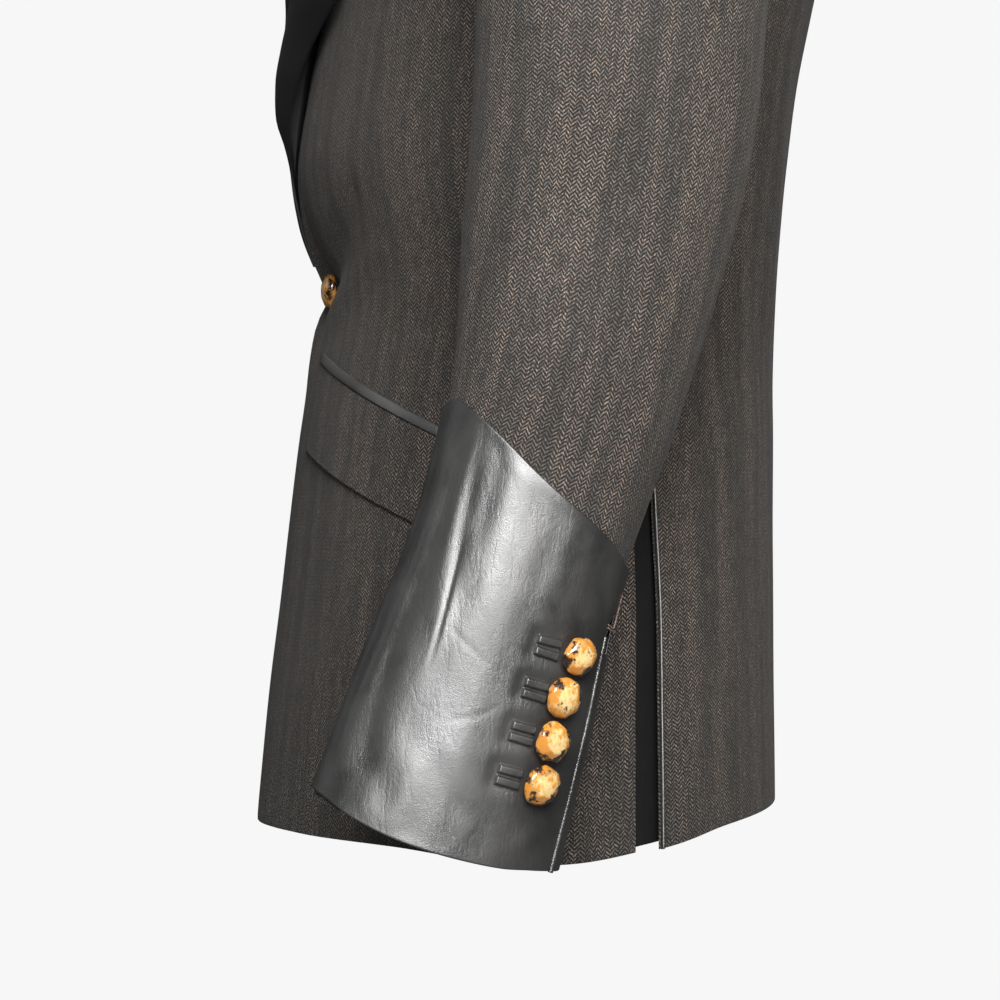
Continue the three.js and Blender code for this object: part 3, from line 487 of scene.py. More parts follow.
def with_rims(grid, width, axis):
    """Adds thin rows next to both ends of a grid, slid from the end towards its neighbour."""
    rows = np.moveaxis(grid, axis, 0)

    def slide(edge, inner, steps):
        gap = np.maximum(np.linalg.norm(inner[..., :3] - edge[..., :3], axis=-1), 1e-6)
        share = np.clip(steps[:, None] * width / gap, 0, 0.9 * steps[:, None])[..., None]
        return edge + (inner - edge) * share

    first = slide(rows[0], rows[1], RIM_STEPS)
    last = slide(rows[-1], rows[-2], RIM_STEPS[::-1])
    made = np.concatenate([first, rows[1:-1], last])
    depth = np.concatenate([RIM_STEPS, np.ones(len(rows) - 2), RIM_STEPS[::-1]])
    return np.moveaxis(made, 0, axis), depth


def new_object(name, vertices, faces, material):
    """Writes vertices in metres into a new smooth object of the scene."""
    mesh = bpy.data.meshes.new(name)
    mesh.from_pydata(np.asarray(vertices).tolist(), [], faces)
    mesh.polygons.foreach_set("use_smooth", np.ones(len(faces), bool))
    mesh.materials.append(material)
    made = bpy.data.objects.new(name, mesh)
    bpy.context.scene.collection.objects.link(made)
    return made


def add_object(name, vertices, faces, grain, material, side=1):
    """Writes vertices in millimetres into a new object, with the cloth grain as its UV map."""
    vertices = vertices * np.array([side, 1.0, 1.0]) / 1000
    corners = vertices[faces]
    first = np.einsum("ij,ij->i", corners[:, 0], np.cross(corners[:, 1], corners[:, 2]))
    second = np.einsum("ij,ij->i", corners[:, 0], np.cross(corners[:, 2], corners[:, -1]))
    if first.sum() + second.sum() < 0:
        faces = faces[:, ::-1]
    made = new_object(name, vertices, faces.tolist(), material)
    mesh = made.data
    layer = mesh.uv_layers.new(name="grain")
    corner_vertex = np.zeros(len(mesh.loops), np.int32)
    mesh.loops.foreach_get("vertex_index", corner_vertex)
    layer.data.foreach_set("uv", grain[corner_vertex].astype(np.float32).ravel())
    mesh.validate()
    return made


def ring_faces(index):
    """Faces between neighbouring closed rings of points."""
    ahead = np.roll(index, -1, axis=1)
    return np.stack([index[:-1], index[1:], ahead[1:], ahead[:-1]], -1).reshape(-1, 4).tolist()


def turn_outwards(mesh, merge=0.0):
    """Merges points that lie together, if asked, and turns every face outwards."""
    work = bmesh.new()
    work.from_mesh(mesh)
    if merge:
        bmesh.ops.remove_doubles(work, verts=work.verts, dist=merge)
    bmesh.ops.recalc_face_normals(work, faces=work.faces)
    work.to_mesh(mesh)
    work.free()


def column(values):
    """Values as a column, one for each row of a grid."""
    return np.asarray(values, float)[:, None]


def spaced(*runs):
    """Even steps over runs that join end to end, each given as its first, last and count."""
    return np.concatenate([*(np.linspace(*run)[:-1] for run in runs[:-1]), np.linspace(*runs[-1])])


def wall(name, points, normals, grain, thickness, material, side=1, rim=0.7):
    """A thin closed wall with rounded edges over a grid of outer points.

    Both faces meet at the rim: the outer lies half a thickness times (1 - h) below the grid
    and the inner half a thickness times (1 + h), where h is a quarter circle of the distance.
    """
    grid = np.concatenate([points, normals, grain], -1)
    grid, row_depth = with_rims(grid, rim, 0)
    grid, column_depth = with_rims(grid, rim, 1)
    depth = np.minimum(row_depth[:, None], column_depth[None, :])
    round_off = np.sqrt(np.clip(1 - (1 - depth) ** 2, 0, 1))[..., None]
    place = grid[..., :3]
    normal = unit(grid[..., 3:6])
    outer = place - normal * thickness / 2 * (1 - round_off)
    inner = place - normal * thickness / 2 * (1 + round_off)
    rows, columns = depth.shape
    outer_index = np.arange(rows * columns).reshape(rows, columns)
    kept = np.zeros((rows, columns), bool)
    kept[1:-1, 1:-1] = True
    inner_index = outer_index.copy()
    inner_index[kept] = rows * columns + np.arange(kept.sum())
    vertices = np.concatenate([outer.reshape(-1, 3), inner[kept]])
    uv = grid[..., 6:8]
    uv = np.concatenate([uv.reshape(-1, 2), uv[kept]])

    def quads(index):
        return np.stack([index[:-1, :-1], index[:-1, 1:], index[1:, 1:], index[1:, :-1]],
                        -1).reshape(-1, 4)

    faces = np.concatenate([quads(outer_index), quads(inner_index)[:, ::-1]])
    return add_object(name, vertices, faces, uv, material, side)


def grain_across(surface, reference, a, b, steps=16):
    """Signed arc length in millimetres from a reference angle to each place, along its row."""
    share = np.linspace(0, 1, steps)
    angles = reference + (np.asarray(a) - reference)[..., None] * share
    points = surface(angles, np.asarray(b)[..., None] + 0 * angles)
    length = np.linalg.norm(np.diff(points, axis=-2), axis=-1).sum(-1)
    return length * np.sign(np.asarray(a) - reference)


def grain_along(surface, reference, b):
    """Length along the surface's line at the reference angle, from the line's upper end."""
    if surface is body_point:
        return np.asarray(b, float)
    line = np.linspace(0, SLEEVE_PROBE[2], 300)
    points = surface(np.full_like(line, reference), line)
    length = np.concatenate([[0], np.cumsum(np.linalg.norm(np.diff(points, axis=0), axis=-1))])
    return -np.interp(b, line, length)


def wall_on(name, surface, a, b, lift, thickness, reference, material, side=1, rim=0.7):
    """A wall laid on a surface, with its grain measured from the reference angle."""
    a, b, lift = (x.copy() for x in np.broadcast_arrays(a, b, lift))
    points, normals = lifted(surface, a, b, lift)
    grain = np.stack([grain_across(surface, reference, a, b),
                      grain_along(surface, reference, b)], -1)
    return wall(name, points, normals, grain, thickness, material, side, rim)


def hang(made, node):
    """A cloth piece rides on the blazer and stands for its node."""
    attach(made, "root")
    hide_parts(node)
    mesh = made.data
    areas = np.zeros(len(mesh.polygons))
    mesh.polygons.foreach_get("area", areas)
    uv = np.zeros(len(mesh.loops) * 2, np.float32)
    mesh.uv_layers["grain"].data.foreach_get("uv", uv)
    return made


def trim(made, slot, *nodes):
    """A small piece rides on the blazer and stands for the nodes that it is given."""
    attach(made, "root")
    if nodes:
        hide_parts(*nodes)
    return made


def lay(pair, label, slot, surface, a, b, lift, grain, rests=(), held="hung", rim=0.7,
        thickness=None, material=None):
    """Lays one side's piece on a surface: cloth if it rests on other pieces, trim if not."""
    prefix, side = pair
    usual_material, usual_thickness = KINDS[slot]
    made = wall_on(f"{prefix}_{label}_{slot}", surface, a, b, lift, thickness or usual_thickness,
                   grain, material_of(material or usual_material), side, rim)
    if rests:
        return hang(made, f"{prefix}_{label}")
    return trim(made, slot, f"{prefix}_{label}")


# ---- Node helpers ----

class Wiring:
    """Short calls that fill a node tree."""

    def __init__(self, tree):
        self.tree = tree

    def put(self, kind, values=None, **settings):
        """Adds a node, sets its settings and feeds its inputs with sockets or constants."""
        node = self.tree.nodes.new(kind)
        for key, value in settings.items():
            setattr(node, key, value)
        for key, value in (values or {}).items():
            self.feed(node.inputs[key], value)
        return node

    def feed(self, socket, value):
        """Links a socket to an input, or writes a constant into it."""
        if isinstance(value, bpy.types.NodeSocket):
            self.tree.links.new(value, socket)
        else:
            socket.default_value = value

    def calc(self, operation, *values):
        """A Math node's result."""
        return self.put("ShaderNodeMath", dict(enumerate(values)), operation=operation).outputs[0]

    def blend(self, share, first, second):
        """Mixes two colours."""
        node = self.put("ShaderNodeMix", {0: share, 6: first, 7: second}, data_type="RGBA")
        return node.outputs[2]

    def between(self, value, low, high, to_low=0.0, to_high=1.0):
        """Maps a range onto another, eased and held at both ends."""
        node = self.put("ShaderNodeMapRange", {0: value, 1: low, 2: high, 3: to_low, 4: to_high},
                        interpolation_type="SMOOTHSTEP")
        return node.outputs[0]

    def scaled(self, vector, scale):
        """Vector times a scale for each axis."""
        return self.put("ShaderNodeMapping", {"Vector": vector, "Scale": scale}).outputs[0]

    def noise(self, vector, scale=1.0, detail=2.0, roughness=0.5):
        """Soft noise from 0 to 1."""
        values = {"Vector": vector, "Scale": scale, "Detail": detail, "Roughness": roughness}
        return self.put("ShaderNodeTexNoise", values).outputs["Fac"]

    def grain(self):
        """Millimetres across and along the cloth, and the same as two numbers."""
        grain = self.put("ShaderNodeUVMap", uv_map="grain").outputs[0]
        return grain, *self.put("ShaderNodeSeparateXYZ", {0: grain}).outputs[:2]

    def seen_as(self, pale, real):
        """Shows one shader to the camera and another to everything else."""
        seen = self.put("ShaderNodeLightPath").outputs["Is Camera Ray"]
        return self.put("ShaderNodeMixShader",
                        {0: seen, 1: real.outputs[0], 2: pale.outputs[0]}).outputs[0]

    def place(self):
        """Object coordinates."""
        return self.put("ShaderNodeTexCoord").outputs["Object"]


def effect_group(name, inputs, outputs):
    """A new shader node group with its named sockets, its wiring and its two ends."""
    tree = bpy.data.node_groups.new(name, "ShaderNodeTree")
    for label, kind, default in inputs:
        socket = tree.interface.new_socket(label, in_out="INPUT", socket_type=kind)
        if default is not None:
            socket.default_value = default
    for label, kind in outputs:
        tree.interface.new_socket(label, in_out="OUTPUT", socket_type=kind)
    wires = Wiring(tree)
    return wires, wires.put("NodeGroupInput"), wires.put("NodeGroupOutput")


def use_group(wires, name, place, **values):
    """Places a group in a material with its own values and gives its outputs."""
    node = wires.put("ShaderNodeGroup", node_tree=bpy.data.node_groups[name])
    for key, value in {"Coordinate": place, **values}.items():
        wires.feed(node.inputs[key], value)
    return node.outputs


def build_groups():
    """The effects that more than one material uses."""
    wires, start, end = effect_group(
        "Handling",
        [("Coordinate", "NodeSocketVector", None), ("Size", "NodeSocketFloat", 30.0)],
        [("Mask", "NodeSocketFloat"), ("Fine", "NodeSocketFloat")])
    patch = wires.noise(start.outputs["Coordinate"], start.outputs["Size"], 3.0, 0.55)
    fine = wires.noise(start.outputs["Coordinate"],
                       wires.calc("MULTIPLY", start.outputs["Size"], 14.0), 2.0, 0.6)
    wires.feed(end.inputs["Mask"], wires.between(patch, 0.3, 0.7))
    wires.feed(end.inputs["Fine"], wires.between(fine, 0.25, 0.75))

    wires, start, end = effect_group(
        "Skin grain",
        [("Coordinate", "NodeSocketVector", None), ("Pores", "NodeSocketFloat", 1100.0),
         ("Wrinkles", "NodeSocketFloat", 0.5)],
        [("Height", "NodeSocketFloat")])
    pores = wires.put("ShaderNodeTexVoronoi",
                      {"Vector": start.outputs["Coordinate"], "Scale": start.outputs["Pores"]},
                      feature="DISTANCE_TO_EDGE").outputs["Distance"]
    pebble = wires.between(pores, 0.0, 0.22)
    lines = wires.noise(wires.scaled(start.outputs["Coordinate"], (90, 90, 26)), 1.0, 4.0, 0.6)
    lines = wires.calc("ABSOLUTE", wires.calc("SUBTRACT", lines, 0.5))
    lines = wires.between(lines, 0.0, 0.06)
    total = wires.calc("ADD", wires.calc("MULTIPLY", pebble, 0.35),
                       wires.calc("MULTIPLY", lines, start.outputs["Wrinkles"]))
    wires.feed(end.inputs["Height"], total)


def new_material(name):
    """An empty material with its wiring, shader and output."""
    material = bpy.data.materials.new(name)
    material.use_nodes = True
    material.node_tree.nodes.clear()
    wires = Wiring(material.node_tree)
    shader = wires.put("ShaderNodeBsdfPrincipled")
    end = wires.put("ShaderNodeOutputMaterial", {"Surface": shader.outputs[0]})
    return material, wires, shader, end


def dress(wires, shader, base, roughness, height, bump, plain=()):
    """Feeds a shader's colour, roughness (mask, low, high) and bump (strength, distance)."""
    mask, low, high = roughness
    wires.feed(shader.inputs["Base Color"], base)
    wires.feed(shader.inputs["Roughness"], wires.between(mask, 0.0, 1.0, low, high))
    strength, distance = bump
    bent = wires.put("ShaderNodeBump", {"Height": height, "Strength": strength,
                                        "Distance": distance})
    wires.feed(shader.inputs["Normal"], bent.outputs[0])
    for key, value in plain:
        shader.inputs[key].default_value = value


def colour(values):
    """A colour with full alpha."""
    return (*values, 1.0)


def make_cloth(settings):
    """Herringbone: twill lines that turn at each chevron, warp yarns in grey and tan streaks."""
    _, wires, shader, _ = new_material("Herringbone cloth")
    grain, weft, warp = wires.grain()
    wander = wires.noise(wires.scaled(grain, (0.05, 0.02, 1)), 1.0, 2.0)
    across = wires.calc("ADD", weft,
                        wires.calc("MULTIPLY", wires.calc("SUBTRACT", wander, 0.5), 6.0))
    half = settings.chevron * 500
    fold = wires.calc("PINGPONG", across, half)
    rise = wires.calc("MULTIPLY", fold, settings.slope)
    step = settings.line * 1000
    jitter = wires.noise(wires.scaled(grain, (0.9, 0.9, 1)), 1.0, 1.0)
    turned = wires.calc("GREATER_THAN", wires.calc("FLOORED_MODULO", across, 2 * half), half)
    run = wires.calc("ADD", wires.calc("ADD", warp, rise),
                     wires.calc("MULTIPLY", wires.calc("SUBTRACT", jitter, 0.5), 0.8))
    run = wires.calc("ADD", run, wires.calc("MULTIPLY", turned, step * 0.3))
    phase = wires.calc("MULTIPLY", run, 2 * math.pi / step)
    wave = wires.calc("MULTIPLY_ADD", wires.calc("SINE", phase), 0.5, 0.5)
    line = wires.between(wave, 0.22, 0.95)
    # Warp yarns: each is a narrow strip along the cloth, with its own lightness and hue.
    strip = wires.noise(wires.scaled(grain, (1.5, 0.11, 1)), 1.0, 2.0, 0.65)
    fleck = wires.noise(wires.scaled(grain, (1.3, 0.5, 1)), 1.0, 1.0)
    band = wires.noise(wires.scaled(grain, (0.085, 0.006, 1)), 1.0, 3.0, 0.6)
    strong = wires.between(strip, 0.35, 0.68)
    tan = wires.calc("MULTIPLY", wires.between(fleck, 0.42, 0.62),
                     wires.between(band, 0.36, 0.62, 0.35, 1.0))
    pale = wires.blend(tan, colour(settings.grey_yarn), colour(settings.tan_yarn))
    level = wires.calc("MULTIPLY", line, wires.calc("MULTIPLY_ADD", strong, 0.75, 0.3))
    level = wires.calc("MULTIPLY", level, wires.between(band, 0.3, 0.7, 0.62, 1.15))
    speck = wires.noise(wires.scaled(grain, (1.15, 0.8, 1)), 1.0, 1.0, 0.5)
    level = wires.calc("MULTIPLY", level, wires.between(speck, 0.34, 0.66, 0.45, 1.35))
    worn = use_group(wires, "Handling", wires.place(), Size=9.0)
    dress(wires, shader,
          wires.blend(wires.calc("MINIMUM", level, 1.0), colour(settings.dark_yarn), pale),
          (worn["Mask"], 0.82, 0.94),
          wires.calc("ADD", line, wires.calc("MULTIPLY", worn["Fine"], 0.25)), (0.55, 0.0004),
          (("Specular IOR Level", 0.25), ("Sheen Weight", 0.06), ("Sheen Roughness", 0.5)))


def make_leather(settings, name="Black leather", gloss=0.0, painted_sheen_gain=1.0):
    """Smooth black leather: fine pores, faint wrinkle lines and a broad soft gloss. A gain above 1
    makes a lighter copy of its colours, a painted sheen.
    """
    _, wires, shader, _ = new_material(name)
    place = wires.place()
    worn = use_group(wires, "Handling", place, Size=34.0)
    skin = use_group(wires, "Skin grain", place, Pores=1250.0, Wrinkles=0.5)
    rough = settings.roughness - gloss
    dress(wires, shader,
          wires.blend(worn["Mask"], colour([painted_sheen_gain * x for x in settings.colour]),
                      colour([painted_sheen_gain * x for x in settings.worn_colour])),
          (worn["Mask"], rough - 0.06, rough + 0.07),
          wires.calc("ADD", skin["Height"], wires.calc("MULTIPLY", worn["Fine"], 0.3)),
          (0.35, 0.0003),
          (("Specular IOR Level", 1.0), ("Coat Weight", 0.3), ("Coat Roughness", rough - 0.05)))


def make_satin(settings):
    """Black satin facing: fine ribs and a soft neutral sheen. It also colours the vent underlaps
    near black, as painted shade.
    """
    _, wires, shader, _ = new_material("Black satin")
    grain, weft, warp = wires.grain()
    ribs = wires.calc("SINE", wires.calc("MULTIPLY", wires.calc("ADD", weft, warp), 9.0))
    threads = wires.noise(wires.scaled(grain, (2.4, 0.12, 1)), 1.0, 2.0)
    worn = use_group(wires, "Handling", wires.place(), Size=16.0)
    dress(wires, shader,
          wires.blend(wires.between(threads, 0.3, 0.7), colour(settings.satin),
                      colour(settings.satin_light)),
          (worn["Mask"], 0.56, 0.66),
          wires.calc("ADD", wires.calc("MULTIPLY", ribs, 0.4), threads), (0.2, 0.0001),
          (("Specular IOR Level", 0.2), ("Sheen Weight", 0.02), ("Sheen Roughness", 0.4)))


def make_horn(settings):
    """Polished amber horn: pale clouds, honey body and dark brown burnt patches, with a painted
    highlight that makes each top paler and painted shade that darkens the sides.
    """
    _, wires, shader, _ = new_material("Amber horn")
    place = wires.place()
    worn = use_group(wires, "Handling", place, Size=210.0)
    _, reach, seed = wires.grain()
    shift = wires.put("ShaderNodeCombineXYZ", {0: wires.calc("MULTIPLY", seed, 0.01)})
    moved = wires.put("ShaderNodeVectorMath", {0: place, 1: shift.outputs[0]}).outputs[0]
    cloud = wires.noise(moved, 300.0, 3.0, 0.6)
    streak = wires.noise(wires.scaled(moved, (700, 700, 240)), 1.0, 3.0, 0.7)
    # rim grows from the crown out to the sides. There it takes the pale clouds away and adds burnt
    # patches: a painted highlight on top and painted shade on the sides.
    rim = wires.between(reach, 0.15, 1.0)
    cloud_and_painted_highlight = wires.calc("ADD", cloud, wires.calc("MULTIPLY", rim, -0.2))
    body = wires.blend(wires.between(cloud_and_painted_highlight, 0.3, 0.5), colour(settings.honey),
                       colour(settings.pale))
    body = wires.blend(wires.between(streak, 0.5, 0.72, 0.0, 0.6), body,
                       colour(settings.honey))
    dark = wires.calc("ADD", wires.noise(moved, 150.0, 3.0, 0.6),
                      wires.calc("MULTIPLY", rim, 0.16))
    dress(wires, shader,
          wires.blend(wires.between(dark, 0.62, 0.72), body, colour(settings.burnt)),
          (worn["Fine"], 0.16, 0.3), streak, (0.25, 0.0004),
          (("Coat Weight", 0.7), ("Coat Roughness", 0.08)))


def make_thread(settings):
    """Twisted brown sewing thread: stretched noise lays a lighter colour that stands for the
    highlight on the crown of each ply, a painted highlight.
    """
    _, wires, shader, _ = new_material("Brown thread")
    place = wires.place()
    worn = use_group(wires, "Handling", place, Size=260.0)
    twist = wires.noise(wires.scaled(place, (2600, 2600, 900)), 1.0, 1.0)
    dress(wires, shader,
          wires.blend(wires.between(twist, 0.35, 0.65), colour(settings.thread),
                      colour(settings.thread_highlight)),
          (worn["Mask"], 0.6, 0.8), twist, (0.5, 0.0002))


def material_of(name):
    """A finished material by its name."""
    return bpy.data.materials[name]


# ---- Settings ----

def tone(name, description, default):
    """A colour setting."""
    return FloatVectorProperty(name=name, description=description, default=default, size=3,
                               min=0.0, max=1.0, subtype="COLOR")


class BlazerClothSettings(bpy.types.PropertyGroup):
    """Weave and colours of the cloth."""

    chevron: FloatProperty(name="Chevron width", description="Width of one whole chevron",
                           default=0.0043, min=0.001, max=0.05, unit="LENGTH", precision=4)
    line: FloatProperty(name="Twill line", description="Distance between two twill lines",
                        default=0.00195, min=0.0005, max=0.02, unit="LENGTH", precision=4)
    slope: FloatProperty(name="Twill slope", description="Rise of a twill line per width",
                         default=1.05, min=0.2, max=3.0)
    dark_yarn: tone("Dark yarn", "Colour of the ground yarn", (0.0125, 0.0118, 0.0108))
    grey_yarn: tone("Grey yarn", "Colour of the grey yarn", (0.165, 0.157, 0.145))
    tan_yarn: tone("Tan yarn", "Colour of the tan yarn", (0.36, 0.262, 0.205))
    # The satin colours also paint the vent underlaps near black: painted shade.
    satin: tone("Satin", "Colour of the lapels", (0.0025, 0.0025, 0.0027))
    satin_light: tone("Satin threads", "Lighter threads of the lapels", (0.005, 0.005, 0.0053))
    thread: tone("Thread", "Colour of the bar tack", (0.1, 0.06, 0.045))
    # The lighter thread colour is a painted highlight on the plies.
    thread_highlight: tone("Light thread", "Lighter plies of the bar tack", (0.3, 0.21, 0.17))


class BlazerLeatherSettings(bpy.types.PropertyGroup):
    """Finish of the leather."""

    colour: tone("Leather", "Colour of the leather", (0.018, 0.018, 0.0178))
    worn_colour: tone("Worn leather", "Colour where the leather is rubbed",
                      (0.03, 0.0295, 0.029))
    roughness: FloatProperty(name="Roughness", description="Roughness of the leather",
                             default=0.42, min=0.1, max=0.9, subtype="FACTOR")


class BlazerButtonSettings(bpy.types.PropertyGroup):
    """Colours and facets of the buttons."""

    honey: tone("Honey", "Main colour of the horn", (0.7, 0.29, 0.045))
    # pale also paints the lighter top of each button, a painted highlight.
    pale: tone("Pale", "Light clouds in the horn", (0.93, 0.68, 0.31))
    burnt: tone("Burnt", "Dark patches in the horn", (0.03, 0.012, 0.006))
    sides: IntProperty(name="Sides", description="Facets round a button", default=7, min=5,
                       max=16)


class BlazerCutSettings(bpy.types.PropertyGroup):
    """Sizes of the cut."""

    corner: FloatProperty(name="Front corner", description="Radius of the lower front corner",
                          default=0.013, min=0.002, max=0.1, unit="LENGTH")
    cutaway: FloatProperty(name="Cutaway", description="How far the front edge swings back",
                           default=0.014, min=0.0, max=0.1, unit="LENGTH")


class BlazerStageSettings(bpy.types.PropertyGroup):
    """Camera and light."""

    distance: FloatProperty(name="Camera distance", description="Camera to the middle axis",
                            default=1.56, min=0.5, max=10.0, unit="LENGTH")
    azimuth: FloatProperty(name="Azimuth", description="Direction of the camera",
                           default=math.radians(84), subtype="ANGLE")
    height: FloatProperty(name="Camera height", description="Height of the level camera",
                          default=-0.571, unit="LENGTH")
    floor: tone("Floor", "Colour of the floor", (0.25, 0.25, 0.25))


# ---- Pieces ----

def body_rows():
    """Heights and armhole turns of the body's rows, from the hem to the neck."""
    seam_top = float(armhole_height(SIDE_SEAM_TURN))
    low = spaced((HEM, HEM + HEM_FINE, 9), (HEM + HEM_FINE, seam_top, 82))
    turns = np.linspace(SIDE_SEAM_TURN, 0, 52)[1:]
    shoulder = np.linspace(armhole_height(0), NECK, 14)[1:]
    z = np.concatenate([low, armhole_height(turns), shoulder])
    turn = np.concatenate([np.full(len(low), SIDE_SEAM_TURN), turns, np.zeros(len(shoulder))])
    return column(z), column(turn)


SIDES = (("left", 1), ("right", -1))


class BLAZER_OT_materials(bpy.types.Operator):
    """Make the cloth, leather, satin, horn and thread materials"""

    bl_idname = "blazer.materials"
    bl_label = "Materials"

    def execute(self, context):
        scene = context.scene
        build_groups()
        make_cloth(scene.blazer_cloth)
        make_leather(scene.blazer_leather)
        make_leather(scene.blazer_leather, "Bead leather", 0.14)
        # The welt leather's colours are 3.2 times lighter: painted sheen.
        make_leather(scene.blazer_leather, "Welt leather", -0.05, 3.2)
        make_satin(scene.blazer_cloth)
        make_horn(scene.blazer_buttons)
        make_thread(scene.blazer_cloth)
        return {"FINISHED"}


class BLAZER_OT_fronts(bpy.types.Operator):
    """Make both fronts: a grid between the front edge and the side seam and armhole"""

    bl_idname = "blazer.fronts"
    bl_label = "Fronts"

    def execute(self, context):
        cut = context.scene.blazer_cut
        z, turn = body_rows()
        across = spaced((0, 0.12, 14), (0.12, 1, 62))[None]
        for pair in SIDES:
            layer = LAYER * pair[1]
            inner = angle_for_x(front_edge_x(z, cut.corner * 1000, cut.cutaway * 1000), z)
            outer = inset_angle(armhole_angle(turn), inner, z, SEAM_GAP)
            a = inner + (outer - inner) * across
            b = z + 0 * a
            x = body_point(a, b)[..., 0]
            lift = centre_lift(x, b, layer) + (edge_lip(x, b) if layer > 0 else 0)
            lay(pair, "front", "cloth", body_point, a, b, lift, FRONT_GRAIN, ("side", "back"))
        return {"FINISHED"}


class BLAZER_OT_sides(bpy.types.Operator):
    """Make both side panels, from the hem to the low point of the armhole"""

    bl_idname = "blazer.sides"
    bl_label = "Side panels"

    def execute(self, context):
        top = float(armhole_height(SIDE_SEAM_TURN))
        z = column(np.linspace(HEM, top, 120))
        turn = np.linspace(SIDE_SEAM_TURN, 360 - SIDE_SEAM_TURN, 34)[None]
        front = armhole_angle(SIDE_SEAM_TURN)
        back = back_seam_angle(z)
        whole = armhole_angle(-SIDE_SEAM_TURN) - front
        a = front + (back - front) * (armhole_angle(turn) - front) / whole
        gap = VENT_GAP + (SEAM_GAP - VENT_GAP) * smooth(VENT_TOP - VENT_CLOSING, VENT_TOP, z)
        first = inset_angle(front, back, z, SEAM_GAP)
        last = np.empty_like(back)
        for i, open_by in enumerate(gap[:, 0]):
            last[i] = inset_angle(back[i], front, z[i], open_by)
        a = np.clip(a, first, last)
        span = (a - a[:, :1]) / (a[:, -1:] - a[:, :1])
        a = first + (last - first) * span
        dip = armhole_height(turn) - top - SEAM_GAP
        b = z + dip * smooth(SIDE_DIP_START, top, z)
        for pair in SIDES:
            lay(pair, "side", "cloth", body_point, a, b, 0.0, SIDE_GRAIN, ("front", "back"))
        return {"FINISHED"}


class BLAZER_OT_backs(bpy.types.Operator):
    """Make both backs: a grid between the side seam and armhole and the middle back"""

    bl_idname = "blazer.backs"
    bl_label = "Backs"

    def execute(self, context):
        z, turn = body_rows()
        across = spaced((0, 0.1, 8), (0.1, 1, 58))[None]
        seam = np.where(turn == SIDE_SEAM_TURN, back_seam_angle(z), armhole_angle(-turn))
        inner = inset_angle(seam, 180.0, z, SEAM_GAP)
        outer = 180.0 + angle_for_x(SEAM_LAP, z)
        a = inner + (outer - inner) * across
        b = z + 0 * a
        flare = (VENT_FLARE * smooth(VENT_TOP, HEM, b)
                 * (1 - smooth(0, VENT_FLARE_SHARE, across)))
        for pair in SIDES:
            lay(pair, "back", "cloth", body_point, a, b, flare, BACK_GRAIN, ("side", "front"))
        return {"FINISHED"}


class BLAZER_OT_vents(bpy.types.Operator):
    """Make the vent underlaps, near-black satin sheets that paint the shade inside the vents, and
    their leather piping
    """

    bl_idname = "blazer.vents"
    bl_label = "Side vents"

    def execute(self, context):
        z = column(np.linspace(HEM + 2, VENT_TOP, 60))
        under = back_seam_angle(z) + np.linspace(*UNDERLAP_ANGLES, 18)[None]
        bead_z = column(np.linspace(HEM, VENT_TOP, 90))
        share = np.linspace(0, 1, 7)[None]
        bead = back_seam_angle(bead_z) + PIPING_ANGLE + PIPING_WIDTH * share
        flare = VENT_FLARE * smooth(VENT_TOP, HEM, bead_z)
        crown = PIPING_CROWN + LEATHER + PIPING_CROWN * np.sin(math.pi * share)
        for pair in SIDES:
            # The underlap stands for shaded cloth; its near-black satin is painted shade.
            lay(pair, "vent_underlap", "satin", body_point, under, z + 0 * under,
                -CLOTH_WALL - UNDERLAP_DEPTH, SIDE_GRAIN, ("side", "back"),
                thickness=CLOTH_WALL)
            lay(pair, "vent_piping", "leather", body_point, bead, bead_z + 0 * bead,
                flare + crown, PIPING_GRAIN, rim=0.5, thickness=PIPING_WALL)
        return {"FINISHED"}


class BLAZER_OT_sleeves(bpy.types.Operator):
    """Make the top and under sleeves from the armhole to the cuff edge"""

    bl_idname = "blazer.sleeves"
    bl_label = "Sleeves"

    def execute(self, context):
        distance = column(spaced((-1, 0, 6), (0, 1, 48), (1, 2, 80)))
        radius = np.where(distance < 1, HEAD_RADIUS, ARM_RADIUS)
        inset = np.degrees(SEAM_GAP / radius)
        for label, low, high, count, middle in SLEEVE_PANELS:
            share = np.linspace(0, 1, count)[None]
            a = (low + inset) + (high - low - 2 * inset) * share
            b = distance + 0 * a
            for pair in SIDES:
                lay(pair, label, "cloth", sleeve_point, a, b, 0.0, middle, ("front", "back"))
        return {"FINISHED"}


# Folds of the cuff: turn and distance above the end at both ends, height, spread.
CUFF_CREASES = (
    (68, 178, 56, 20, 0.8, 6.0),
    (60, 175, 48, 10, -1.1, 5.5),
    (48, 178, 36, 70, 0.7, 5.0),
    (43, 168, 34, 92, -0.8, 3.6),
    (36, 122, 30, 66, -0.55, 1.3),
    (34, 118, 29, 60, 0.3, 3.2),
    (33, 175, 26, 118, -0.5, 4.2),
    (24, 175, 16, 100, 0.4, 7.0),
    (80, 170, 72, 5, -0.6, 5.0),
    (72, 70, 58, 2, 0.6, 6.0),
    (52, 40, 26, -2, -0.5, 6.0),
    (30, 40, 18, -4, 0.45, 7.0),
    (0, 150, -12, 110, -0.45, 8.0),
    (-22, 142, -44, 108, 0.5, 6.0),
    (-44, 138, -58, 104, -0.5, 4.5),
    (15, 116, 25, 104, -0.12, 1.0),
    (28, 88, 2, 74, -0.14, 1.2),
    (-10, 62, 14, 48, -0.12, 1.4),
    (-8, 10, 14, 36, -0.35, 4.0),
    (-28, 108, -50, 98, -0.4, 3.0),
    (-30, 2, -54, 28, 0.45, 4.5),
    (120, 150, 112, 20, -1.0, 6.0),
    (150, 140, 160, 50, 0.8, 7.0),
    (190, 130, 178, 30, -0.9, 5.5),
    (222, 120, 214, 10, 0.7, 6.0),
    (250, 110, 240, 30, -0.7, 5.0),
)
